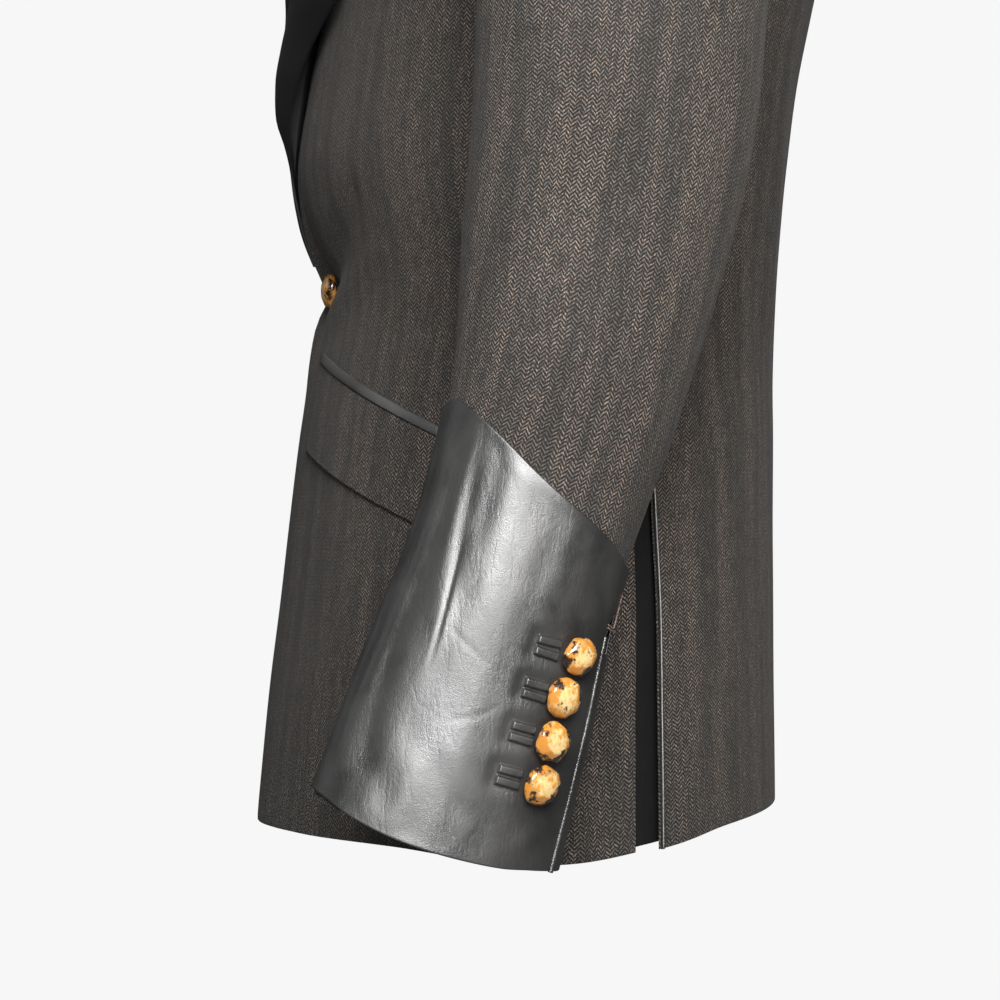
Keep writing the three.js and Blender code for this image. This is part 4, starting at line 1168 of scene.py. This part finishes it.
FOLD_WANDER = 0.35  # how far a fold strays, as a share of its spread
FOLD_START = (-0.08, 0.32)  # shares of a fold's length over which it rises and falls
FOLD_END = (0.66, 1.08)
PUCKER_SPREAD = 3.6
PUCKER_DEPTH = 0.9
PUCKER_SPAN = (-3.0, 3.4)  # from the lower to the upper side of a buttonhole's patch
PUCKER_END = 1.5


def soft_folds(creases, turn, up):
    """Ridges whose height eases out at both ends and whose line wanders a little."""
    total = np.zeros(np.broadcast(turn, up).shape)
    for k, (a0, b0, a1, b1, height, spread) in enumerate(creases):
        dx = (a1 - a0) * CUFF_SCALE
        dz = b1 - b0
        px = (turn - a0) * CUFF_SCALE
        pz = up - b0
        length = math.hypot(dx, dz)
        t = (px * dx + pz * dz) / length**2
        off = (px * dz - pz * dx) / length
        off = off - FOLD_WANDER * spread * np.sin(t * (5.0 + k % 3) + k)
        ends = smooth(*FOLD_START, t) * (1 - smooth(*FOLD_END, t))
        total = total + height * ends * np.exp(-((off / spread) ** 2))
    return total


def pucker(turn, up):
    """The cuff sinks round each bound buttonhole: a bell curve of the distance from its patch."""
    total = np.zeros(np.broadcast(turn, up).shape)
    for middle in CUFF_BUTTON_UPS:
        start = turn_for_reach(CUFF_BUTTON_REACH, middle)
        end = turn_for_reach(BUTTONHOLE_END_REACH - PUCKER_END, middle)
        beside = (np.clip(turn, start, end) - turn) * CUFF_SCALE
        above = up - middle - np.clip(up - middle, *PUCKER_SPAN)
        total = total - PUCKER_DEPTH * np.exp(-(np.hypot(beside, above) / PUCKER_SPREAD) ** 2)
    return total


def cuff_relief(turn, up):
    """All the folds of the cuff, the sink round its buttonholes and a faint unevenness."""
    waves = (0.3 * np.sin(turn / 7.1 + up / 31.0) * np.sin(up / 19.0 - turn / 23.0)
             + 0.1 * np.sin(turn / 3.3 - up / 11.0) * np.sin(up / 8.3 + turn / 9.7))
    return soft_folds(CUFF_CREASES, turn, up) + pucker(turn, up) + waves


class BLAZER_OT_cuffs(bpy.types.Operator):
    """Make the leather cuffs, their underlaps, bound buttonholes and bar tacks"""

    bl_idname = "blazer.cuffs"
    bl_label = "Leather cuffs"

    def execute(self, context):
        part = column(np.linspace(0, 1, 136))
        turn = spaced((CUFF_FIRST_TURN, 90, 176), (90, CUFF_LAST_TURN, 76))[None]
        first = 1 - smooth(0, CUFF_CORNER_WIDTH, turn - CUFF_FIRST_TURN)
        a = turn - CUFF_CORNER * smooth(*CUFF_CORNER_SHARES, part) * first
        high = curve(CUFF_TOP, a, 1)
        low = curve(CUFF_LOW, a, 1)
        up = low + (high - low) * part
        b = 2 - up / SLEEVE_LENGTH
        lift = CUFF_LIFT + (cuff_relief(a, up) * smooth(0, CUFF_EDGE, up - low)
                            * smooth(0, CUFF_EDGE, high - up))
        lap_up = column(np.linspace(0, CUFF_UNDERLAP_UP, 40))
        lap_turn = np.linspace(*CUFF_UNDERLAP_TURNS, 18)[None]
        for pair in SIDES:
            lay(pair, "cuff", "leather", cuff_surface, a, b, lift, 0,
                ("top_sleeve", "under_sleeve"), "stretched", 0.8)
            lay(pair, "cuff_underlap", "leather", cuff_surface, lap_turn,
                2 - lap_up / SLEEVE_LENGTH, CUFF_LIFT, CUFF_UNDERLAP_GRAIN)
            self.bind_buttonholes(pair)
            self.edge_bead(pair)
        return {"FINISHED"}

    def bind_buttonholes(self, pair):
        """Two square-ended lips on a thin patch for each buttonhole, with a dark slit between."""
        spread = column(np.linspace(-HOLE_HALF, HOLE_HALF, 49))
        share = np.linspace(0, 1, 40)[None]
        for i, up in enumerate(CUFF_BUTTON_UPS):
            start = turn_for_reach(CUFF_BUTTON_REACH - SLEEVE_BUTTON[0] - HOLE_ENDS[0], up)
            end = turn_for_reach(BUTTONHOLE_END_REACH - HOLE_ENDS[1], up)
            opened = HOLE_LIP_MIDDLE + HOLE_OPENED[i > 0] * (1 - share)
            off = np.abs((np.abs(spread) - opened) / HOLE_LIP_HALF)
            lips = np.clip(1 - off ** HOLE_LIP_POWERS[0], 0, 1) ** HOLE_LIP_POWERS[1]
            square = smooth(0, HOLE_LIP_END, share) * smooth(0, HOLE_LIP_END, 1 - share)
            a = start + (end - start) * share
            lay(pair, f"buttonhole_{i + 1}", "leather", cuff_surface, a,
                2 - (up + spread) / SLEEVE_LENGTH,
                CUFF_LIFT - HOLE_SINK + HOLE_LIP_HEIGHT * lips * square, 0, rim=0.35,
                thickness=HOLE_WALL)

    def edge_bead(self, pair):
        """A narrow rounded bead along the vent's front edge and a bar tack above the vent."""
        prefix, side = pair
        up = column(np.linspace(*BEAD_UPS, 130))
        share = np.linspace(0, 1, 9)[None]
        turn = CUFF_FIRST_TURN - BEAD_GAP - BEAD_WIDTH * share
        lift = CUFF_LIFT + BEAD_STAND + BEAD_HEIGHT * np.sin(math.pi * share) ** 0.7
        made = wall_on(f"{prefix}_vent_bead_leather", cuff_surface, turn, 2 - up / SLEEVE_LENGTH,
                       lift, BEAD_WALL, BEAD_GRAIN, material_of("Bead leather"), side, 0.3)
        trim(made, "leather")
        for label, route, radius in TACKS:
            line = tube_on_cuff(np.array(route, float), radius)
            trim(thread_object(f"{prefix}_{label}_thread", line, radius, side), "leather")


# Bar tack and thread ends: route by turn and distance above the end of the sleeve, radius.
TACKS = (
    ("tack_1", ((-62.5, 106.4), (-67, 105.6), (-73, 105.2), (-77.5, 105.9)), 0.5),
    ("tack_2", ((-62.5, 105.1), (-67, 104.4), (-73, 104.1), (-77.5, 104.8)), 0.5),
    ("tail", ((-76.5, 105.6), (-78.5, 110), (-79.5, 115), (-78, 121)), 0.3),
    ("tail_end", ((-76.5, 119), (-80, 114), (-82, 109), (-82, 106.5)), 0.28),
)


def tube_on_cuff(route, radius):
    """Points along a soft route just over the cuff: its corners joined by straight pieces."""
    at = np.linspace(0, len(route) - 1, 24)
    turn = np.interp(at, np.arange(len(route)), route[:, 0])
    up = np.interp(at, np.arange(len(route)), route[:, 1])
    for _ in range(3):
        turn[1:-1] = (turn[:-2] + 2 * turn[1:-1] + turn[2:]) / 4
        up[1:-1] = (up[:-2] + 2 * up[1:-1] + up[2:]) / 4
    return lifted(cuff_surface, turn, 2 - up / SLEEVE_LENGTH, CUFF_LIFT + radius + BEAD_STAND)[0]


def thread_object(name, line, radius, side):
    """A round thread along a line: a ring of eight points round each place, closed at the ends."""
    along = unit(np.gradient(line, axis=0))
    first = unit(np.cross(along, [1.0, 0.2, 0.1]))
    second = np.cross(along, first)
    turn = np.linspace(0, 2 * math.pi, 9)[:-1]
    thick = radius * np.sqrt(np.clip(1 - np.abs(np.linspace(-1, 1, len(line))) ** 8, 0.02, 1))
    ring = (first[:, None] * np.cos(turn)[None, :, None]
            + second[:, None] * np.sin(turn)[None, :, None]) * thick[:, None, None]
    vertices = (line[:, None] + ring).reshape(-1, 3) * np.array([side, 1.0, 1.0]) / 1000
    index = np.arange(len(vertices)).reshape(-1, 8)
    ends = [[int(end[0]), int(end[k]), int(end[k + 1])]
            for end in (index[0], index[-1]) for k in range(1, 7)]
    made = new_object(name, vertices, ring_faces(index) + ends, material_of("Brown thread"))
    turn_outwards(made.data)
    return made


def turn_for_reach(reach, up):
    """Turn round the arm that lies a given distance behind its middle: an arcsine."""
    deep = float(curve(ARM_SECTIONS, up, 5)) + CUFF_LIFT
    return -math.degrees(math.asin(reach / deep))


def button_mesh(name, size, base, normal, side, sides, seed):
    """A knobbly dome: rings of a profile, each turned half a step and pushed in and out."""
    radius, height = size
    profile = np.array([(0.0, 0.0), (0.52, 0.0), (0.62, 0.12), (0.93, 0.24), (1.0, 0.46),
                        (0.86, 0.72), (0.5, 0.95), (0.0, 1.0)])
    rng = np.random.default_rng(seed)
    rings = len(profile)
    turn = (np.arange(sides)[None] * 2 * math.pi / sides
            + column(np.arange(rings)) * math.pi / sides)
    loose = column([0, 0, 0.2, 1, 1, 1, 1, 0])
    push = 1 + loose * rng.uniform(-0.09, 0.05, (rings, sides))
    turn = turn + loose * rng.uniform(-0.16, 0.16, (rings, sides))
    reach = column(profile[:, 0]) * radius * push
    wobble = rng.uniform(-1, 0.4, (rings, sides))
    rise = column(profile[:, 1]) * height * (1 + 0.06 * loose * wobble)
    local = np.stack([reach * np.cos(turn), reach * np.sin(turn), rise], -1).reshape(-1, 3)
    index = np.arange(rings * sides).reshape(rings, sides)
    ahead = np.roll(index, -1, axis=1)
    faces = np.concatenate([
        np.stack([index[:-1], ahead[:-1], index[1:]], -1).reshape(-1, 3),
        np.stack([ahead[:-1], ahead[1:], index[1:]], -1).reshape(-1, 3)])
    axis = unit(np.asarray(normal, float))
    across = unit(np.cross(axis, [0.0, 0.0, 1.0]))
    frame_axes = np.stack([across, np.cross(axis, across), axis])
    vertices = local @ frame_axes + base
    # The first UV value is the distance out from the crown on the upper rings and 1.1 on the rest;
    # the horn paints its paler top and shaded sides from it.
    share = np.where(profile[:, 1] > 0.5, profile[:, 0], 1.1)
    grain = np.stack([np.repeat(share, sides), np.full(len(vertices), seed * 3.7)], -1)
    made = add_object(name, vertices, faces, grain, material_of("Amber horn"), side)
    turn_outwards(made.data, merge=1e-5)
    bevel = made.modifiers.new("rounded facets", "BEVEL")
    bevel.width = BUTTON_BEVEL
    bevel.segments = 3
    bevel.limit_method = "ANGLE"
    bevel.angle_limit = math.radians(8)
    return made


class BLAZER_OT_buttons(bpy.types.Operator):
    """Make the cuff buttons and the front button"""

    bl_idname = "blazer.buttons"
    bl_label = "Buttons"

    def execute(self, context):
        sides = context.scene.blazer_buttons.sides
        for prefix, side in SIDES:
            for i, up in enumerate(CUFF_BUTTON_UPS):
                turn = turn_for_reach(CUFF_BUTTON_REACH + BUTTON_SHIFTS[i], up)
                place, normal = lifted(cuff_surface, np.array(turn),
                                       np.array(2 - up / SLEEVE_LENGTH), CUFF_LIFT + 0.3)
                made = button_mesh(f"{prefix}_cuff_button_{i + 1}_horn", DOME, place,
                                   normal, side, sides, 11 + i + (20 if side < 0 else 0))
                trim(made, "horn", f"{prefix}_cuff_button_{i + 1}")
        angle = angle_for_x(BUTTON_X, BUTTON_HEIGHT)
        lift = centre_lift(BUTTON_X, BUTTON_HEIGHT, LAYER) + edge_lip(BUTTON_X, BUTTON_HEIGHT)
        place, _ = lifted(body_point, np.array(angle), np.array(BUTTON_HEIGHT),
                          lift + BUTTON_SHANK)
        lean = math.radians(BUTTON_LEAN)
        made = button_mesh("front_button_horn", FRONT_BUTTON, place,
                           (math.sin(lean), -math.cos(lean), 0.0), 1, sides, 5)
        trim(made, "horn", "front_button")
        return {"FINISHED"}


class BLAZER_OT_lapels(bpy.types.Operator):
    """Make both lapels: from the roll line to the free edge, with a soft bulge"""

    bl_idname = "blazer.lapels"
    bl_label = "Lapels"

    def execute(self, context):
        part = spaced((-1, 0, 10), (0, 1, 44))[None]
        flat = np.maximum(part, 0)
        bend = np.radians(np.minimum(part, 0) * LAPEL_TURN)
        for pair in SIDES:
            side = pair[1]
            lowest = LAPEL_FOOT if side > 0 else COVERED_LAPEL_FOOT
            z = column(np.linspace(lowest, LAPEL_TOP, 116))
            start = roll_x(z) if side > 0 else np.maximum(roll_x(z), COVERED_LAPEL_X - roll_x(z))
            out = (curve(LAPEL_SECTIONS, z, 1) - start) * flat**LAPEL_SWELL
            close = LAPEL_CLOSED + (1 - LAPEL_CLOSED) * smooth(LAPEL_FOOT, LAPEL_CLOSING, z)
            roll = close * (FACING + LAPEL_GAP + CLOTH_WALL + LAPEL_ROLL_EXTRA) / 2
            x = start + out + roll * np.sin(bend)
            b = z - GORGE_DROP * out * smooth(GORGE_START, LAPEL_TOP, z)
            rest = close * (FACING + LAPEL_GAP) + np.maximum(centre_lift(x, b, side * LAYER), 0)
            lip = edge_lip(x, z) if side > 0 else 0
            bulge = curve(LAPEL_SECTIONS, z, 2) * np.sin(math.pi * flat**LAPEL_CREST)
            lift = (rest + lip + bulge + curve(LAPEL_SECTIONS, z, 3) * flat
                    - roll * (1 - np.cos(bend)))
            lay(pair, "lapel", "satin", body_point, angle_for_x(x, b), b, lift, LAPEL_GRAIN,
                ("front",), "folded", 0.8)
        return {"FINISHED"}


def collar_point(along, part):
    """Collar section: a centripetal Catmull-Rom line through seam, fold and leaf edge."""
    along, part = np.broadcast_arrays(np.asarray(along, float), np.asarray(part, float))
    table = COLLAR_SECTIONS.copy()
    low = table[:, 2] < 0
    table[low, 1] = angle_for_x(roll_x(table[low, 2]) - COLLAR_STEP, table[low, 2])
    at = np.abs(along)
    seam = lifted(body_point, curve(table, at, 1), curve(table, at, 2),
                  -COLLAR_SEAM_DEPTH + 0 * at)[0]
    fold = np.stack([curve(table, at, k) for k in (3, 4, 5)], -1)
    edge = lifted(body_point, curve(table, at, 6), curve(table, at, 7), COLLAR_REST + 0 * at)[0]
    out = edge - seam
    out[..., 2] = 0
    out = unit(out)
    rise = np.array([0.0, 0.0, 1.0])
    in_fold = fold - 3 * out - 4 * rise
    out_fold = fold + 4 * out - 3 * rise
    middle = (out_fold + edge) / 2 + 3 * out + 2 * rise
    path = [seam, in_fold, fold, out_fold, middle, edge]
    path = [2 * path[0] - path[1], *path, 2 * path[-1] - path[-2]]
    place = np.clip(part, 0, 1) * 5
    piece = np.minimum(place.astype(int), 4)
    t = (place - piece)[..., None]
    total = np.zeros_like(seam)
    for k in range(5):
        p0, p1, p2, p3 = path[k:k + 4]
        d0, d1, d2 = (np.sqrt(np.linalg.norm(q - p, axis=-1, keepdims=True))
                      for p, q in ((p0, p1), (p1, p2), (p2, p3)))
        m1 = ((p1 - p0) / d0 - (p2 - p0) / (d0 + d1) + (p2 - p1) / d1) * d1
        m2 = ((p2 - p1) / d1 - (p3 - p1) / (d1 + d2) + (p3 - p2) / d2) * d1
        point = ((2 * t**3 - 3 * t**2 + 1) * p1 + (t**3 - 2 * t**2 + t) * m1
                 + (3 * t**2 - 2 * t**3) * p2 + (t**3 - t**2) * m2)
        total = np.where((piece == k)[..., None], point, total)
    total[..., 0] *= np.where(along < 0, -1, 1)
    return total


class BLAZER_OT_collar(bpy.types.Operator):
    """Make the collar: stand, fold and leaf from gorge to gorge"""

    bl_idname = "blazer.collar"
    bl_label = "Collar"

    def execute(self, context):
        along = column(np.linspace(-1, 1, 121))
        part = spaced((0, 0.6, 34), (0.6, 1, 18))[None]
        along, part = (x.copy() for x in np.broadcast_arrays(along, part))
        step = COLLAR_PROBE
        du = (collar_point(np.minimum(along + step, 1), part)
              - collar_point(np.maximum(along - step, -1), part))
        dv = (collar_point(along, np.minimum(part + step, 1))
              - collar_point(along, np.maximum(part - step, 0)))
        normals = -unit(np.cross(dv, du))
        points = collar_point(along, part)
        grain = np.stack([along * COLLAR_SIZE[0], part * COLLAR_SIZE[1]], -1)
        made = wall("collar_satin", points, normals, grain, SATIN_WALL,
                    material_of("Black satin"), 1, 0.8)
        hang(made, "collar")
        return {"FINISHED"}


def pocket_place(part, drop):
    """Pocket line from the front end (0) to the side end (1), and how far below it."""
    a = POCKET_ANGLES[0] + (POCKET_ANGLES[1] - POCKET_ANGLES[0]) * part
    b = POCKET_HEIGHTS[0] + (POCKET_HEIGHTS[1] - POCKET_HEIGHTS[0]) * part**POCKET_SAG - drop
    return a, b


class BLAZER_OT_pockets(bpy.types.Operator):
    """Make the leather welts and the pocket flaps"""

    bl_idname = "blazer.pockets"
    bl_label = "Pockets"

    def execute(self, context):
        part = np.linspace(0, 1, 72)[None]
        welt_share = column(np.linspace(0, 1, 15))
        flap_share = column(np.linspace(0, 1, 34))
        a, b = pocket_place(part, welt_share * POCKET_WELT)
        welt_lift = POCKET_GAP + LEATHER + WELT_CROWN * np.sin(math.pi * welt_share) ** 0.5
        flap = pocket_place(part, POCKET_WELT + FLAP_GAP + flap_share * POCKET_FLAP)
        flap_lift = POCKET_GAP + FLAP_STAND[0] + FLAP_STAND[1] * flap_share
        for pair in SIDES:
            # Welt leather is the lighter copy of the black leather, a painted sheen.
            lay(pair, "pocket_welt", "leather", body_point, a, b, welt_lift, FRONT_GRAIN, rim=0.3,
                thickness=WELT_WALL, material="Welt leather")
            lay(pair, "pocket_flap", "cloth", body_point, *flap, flap_lift, FRONT_GRAIN,
                ("front",), rim=0.8)
        return {"FINISHED"}


class BLAZER_OT_stage(bpy.types.Operator):
    """Make the floor, the lights and the camera"""

    bl_idname = "blazer.stage"
    bl_label = "Stage"

    def execute(self, context):
        settings = context.scene.blazer_stage
        context.scene.view_settings.view_transform = "Standard"
        self.make_floor(settings)
        self.make_world(context.scene)
        target = Vector(LIGHT_TARGET)
        for label, place, size, power, tint, shiny in LIGHTS:
            lamp = bpy.data.lights.new(label, "AREA")
            lamp.shape = "RECTANGLE"
            lamp.size, lamp.size_y = size
            lamp.energy = power
            lamp.color = tint
            made = bpy.data.objects.new(label, lamp)
            made.location = place
            made.rotation_mode = "QUATERNION"
            made.rotation_quaternion = (target - Vector(place)).to_track_quat("-Z", "Y")
            made.visible_diffuse = not shiny
            context.scene.collection.objects.link(made)
        self.make_camera(context.scene, settings)
        return {"FINISHED"}

    def make_floor(self, settings):
        """A round pale floor below the garment."""
        turn = np.linspace(0, 2 * math.pi, 97)[None, :-1]
        reach = column(FLOOR_RINGS)
        points = np.stack([reach * np.cos(turn), reach * np.sin(turn),
                           FLOOR_HEIGHT + 0 * reach + 0 * turn], -1)
        index = np.arange(points.shape[0] * points.shape[1]).reshape(points.shape[:2])
        material, wires, shader, end = new_material("Pale floor")
        shader.inputs["Base Color"].default_value = colour(settings.floor)
        shader.inputs["Roughness"].default_value = 0.9
        pale = wires.put("ShaderNodeEmission", {"Color": BACKDROP, "Strength": 1.0})
        wires.feed(end.inputs["Surface"], wires.seen_as(pale, shader))
        new_object("floor", points.reshape(-1, 3), ring_faces(index), material)

    def make_world(self, scene):
        """Pale surroundings that light the garment only softly."""
        world = bpy.data.worlds.new("Studio")
        scene.world = world
        world.use_nodes = True
        world.node_tree.nodes.clear()
        wires = Wiring(world.node_tree)
        soft = wires.put("ShaderNodeBackground", {"Color": (1, 1, 1, 1), "Strength": AMBIENT})
        pale = wires.put("ShaderNodeBackground", {"Color": BACKDROP, "Strength": 1.0})
        wires.put("ShaderNodeOutputWorld", {"Surface": wires.seen_as(pale, soft)})

    def make_camera(self, scene, settings):
        """A level camera at the photograph's angle."""
        lens = bpy.data.cameras.new("camera")
        lens.lens = LENS
        lens.sensor_width = SENSOR
        lens.clip_start = CLIP_START
        camera = bpy.data.objects.new("camera", lens)
        back = Vector((math.sin(settings.azimuth), -math.cos(settings.azimuth), 0))
        camera.location = back * settings.distance + Vector((0, 0, settings.height))
        camera.rotation_mode = "QUATERNION"
        camera.rotation_quaternion = (-back).to_track_quat("-Z", "Y")
        scene.collection.objects.link(camera)
        scene.camera = camera


# ---- Add-on ----

SETTINGS = (
    ("blazer_cloth", BlazerClothSettings),
    ("blazer_leather", BlazerLeatherSettings),
    ("blazer_buttons", BlazerButtonSettings),
    ("blazer_cut", BlazerCutSettings),
    ("blazer_stage", BlazerStageSettings),
)
STEPS = (BLAZER_OT_materials, BLAZER_OT_stage, BLAZER_OT_fronts, BLAZER_OT_sides,
         BLAZER_OT_backs, BLAZER_OT_vents, BLAZER_OT_sleeves, BLAZER_OT_cuffs,
         BLAZER_OT_buttons, BLAZER_OT_lapels, BLAZER_OT_collar, BLAZER_OT_pockets)


class BLAZER_PT_panel(bpy.types.Panel):
    """Lists the settings and the steps."""

    bl_idname = "BLAZER_PT_panel"
    bl_label = "Blazer"
    bl_space_type = "VIEW_3D"
    bl_region_type = "UI"
    bl_category = "Blazer"

    def draw(self, context):
        layout = self.layout
        for name, _ in SETTINGS:
            group = getattr(context.scene, name)
            box = layout.box()
            for key in group.bl_rna.properties.keys():
                if key not in ("rna_type", "name"):
                    box.prop(group, key)
        for step in STEPS:
            layout.operator(step.bl_idname)


def register():
    """Registers the settings, the operators and the panel."""
    for name, group in SETTINGS:
        bpy.utils.register_class(group)
        setattr(bpy.types.Scene, name, PointerProperty(type=group))
    for step in (*STEPS, BLAZER_PT_panel):
        bpy.utils.register_class(step)


def unregister():
    """Takes everything out again."""
    for step in reversed((*STEPS, BLAZER_PT_panel)):
        bpy.utils.unregister_class(step)
    for name, group in reversed(SETTINGS):
        delattr(bpy.types.Scene, name)
        bpy.utils.unregister_class(group)


def main():
    """Runs the steps in order."""
    register()
    for step in STEPS:
        area, label = step.bl_idname.split(".")
        if getattr(getattr(bpy.ops, area), label)() != {"FINISHED"}:
            raise RuntimeError(f"{step.bl_label} did not finish")


if __name__ == "__main__":
    main()
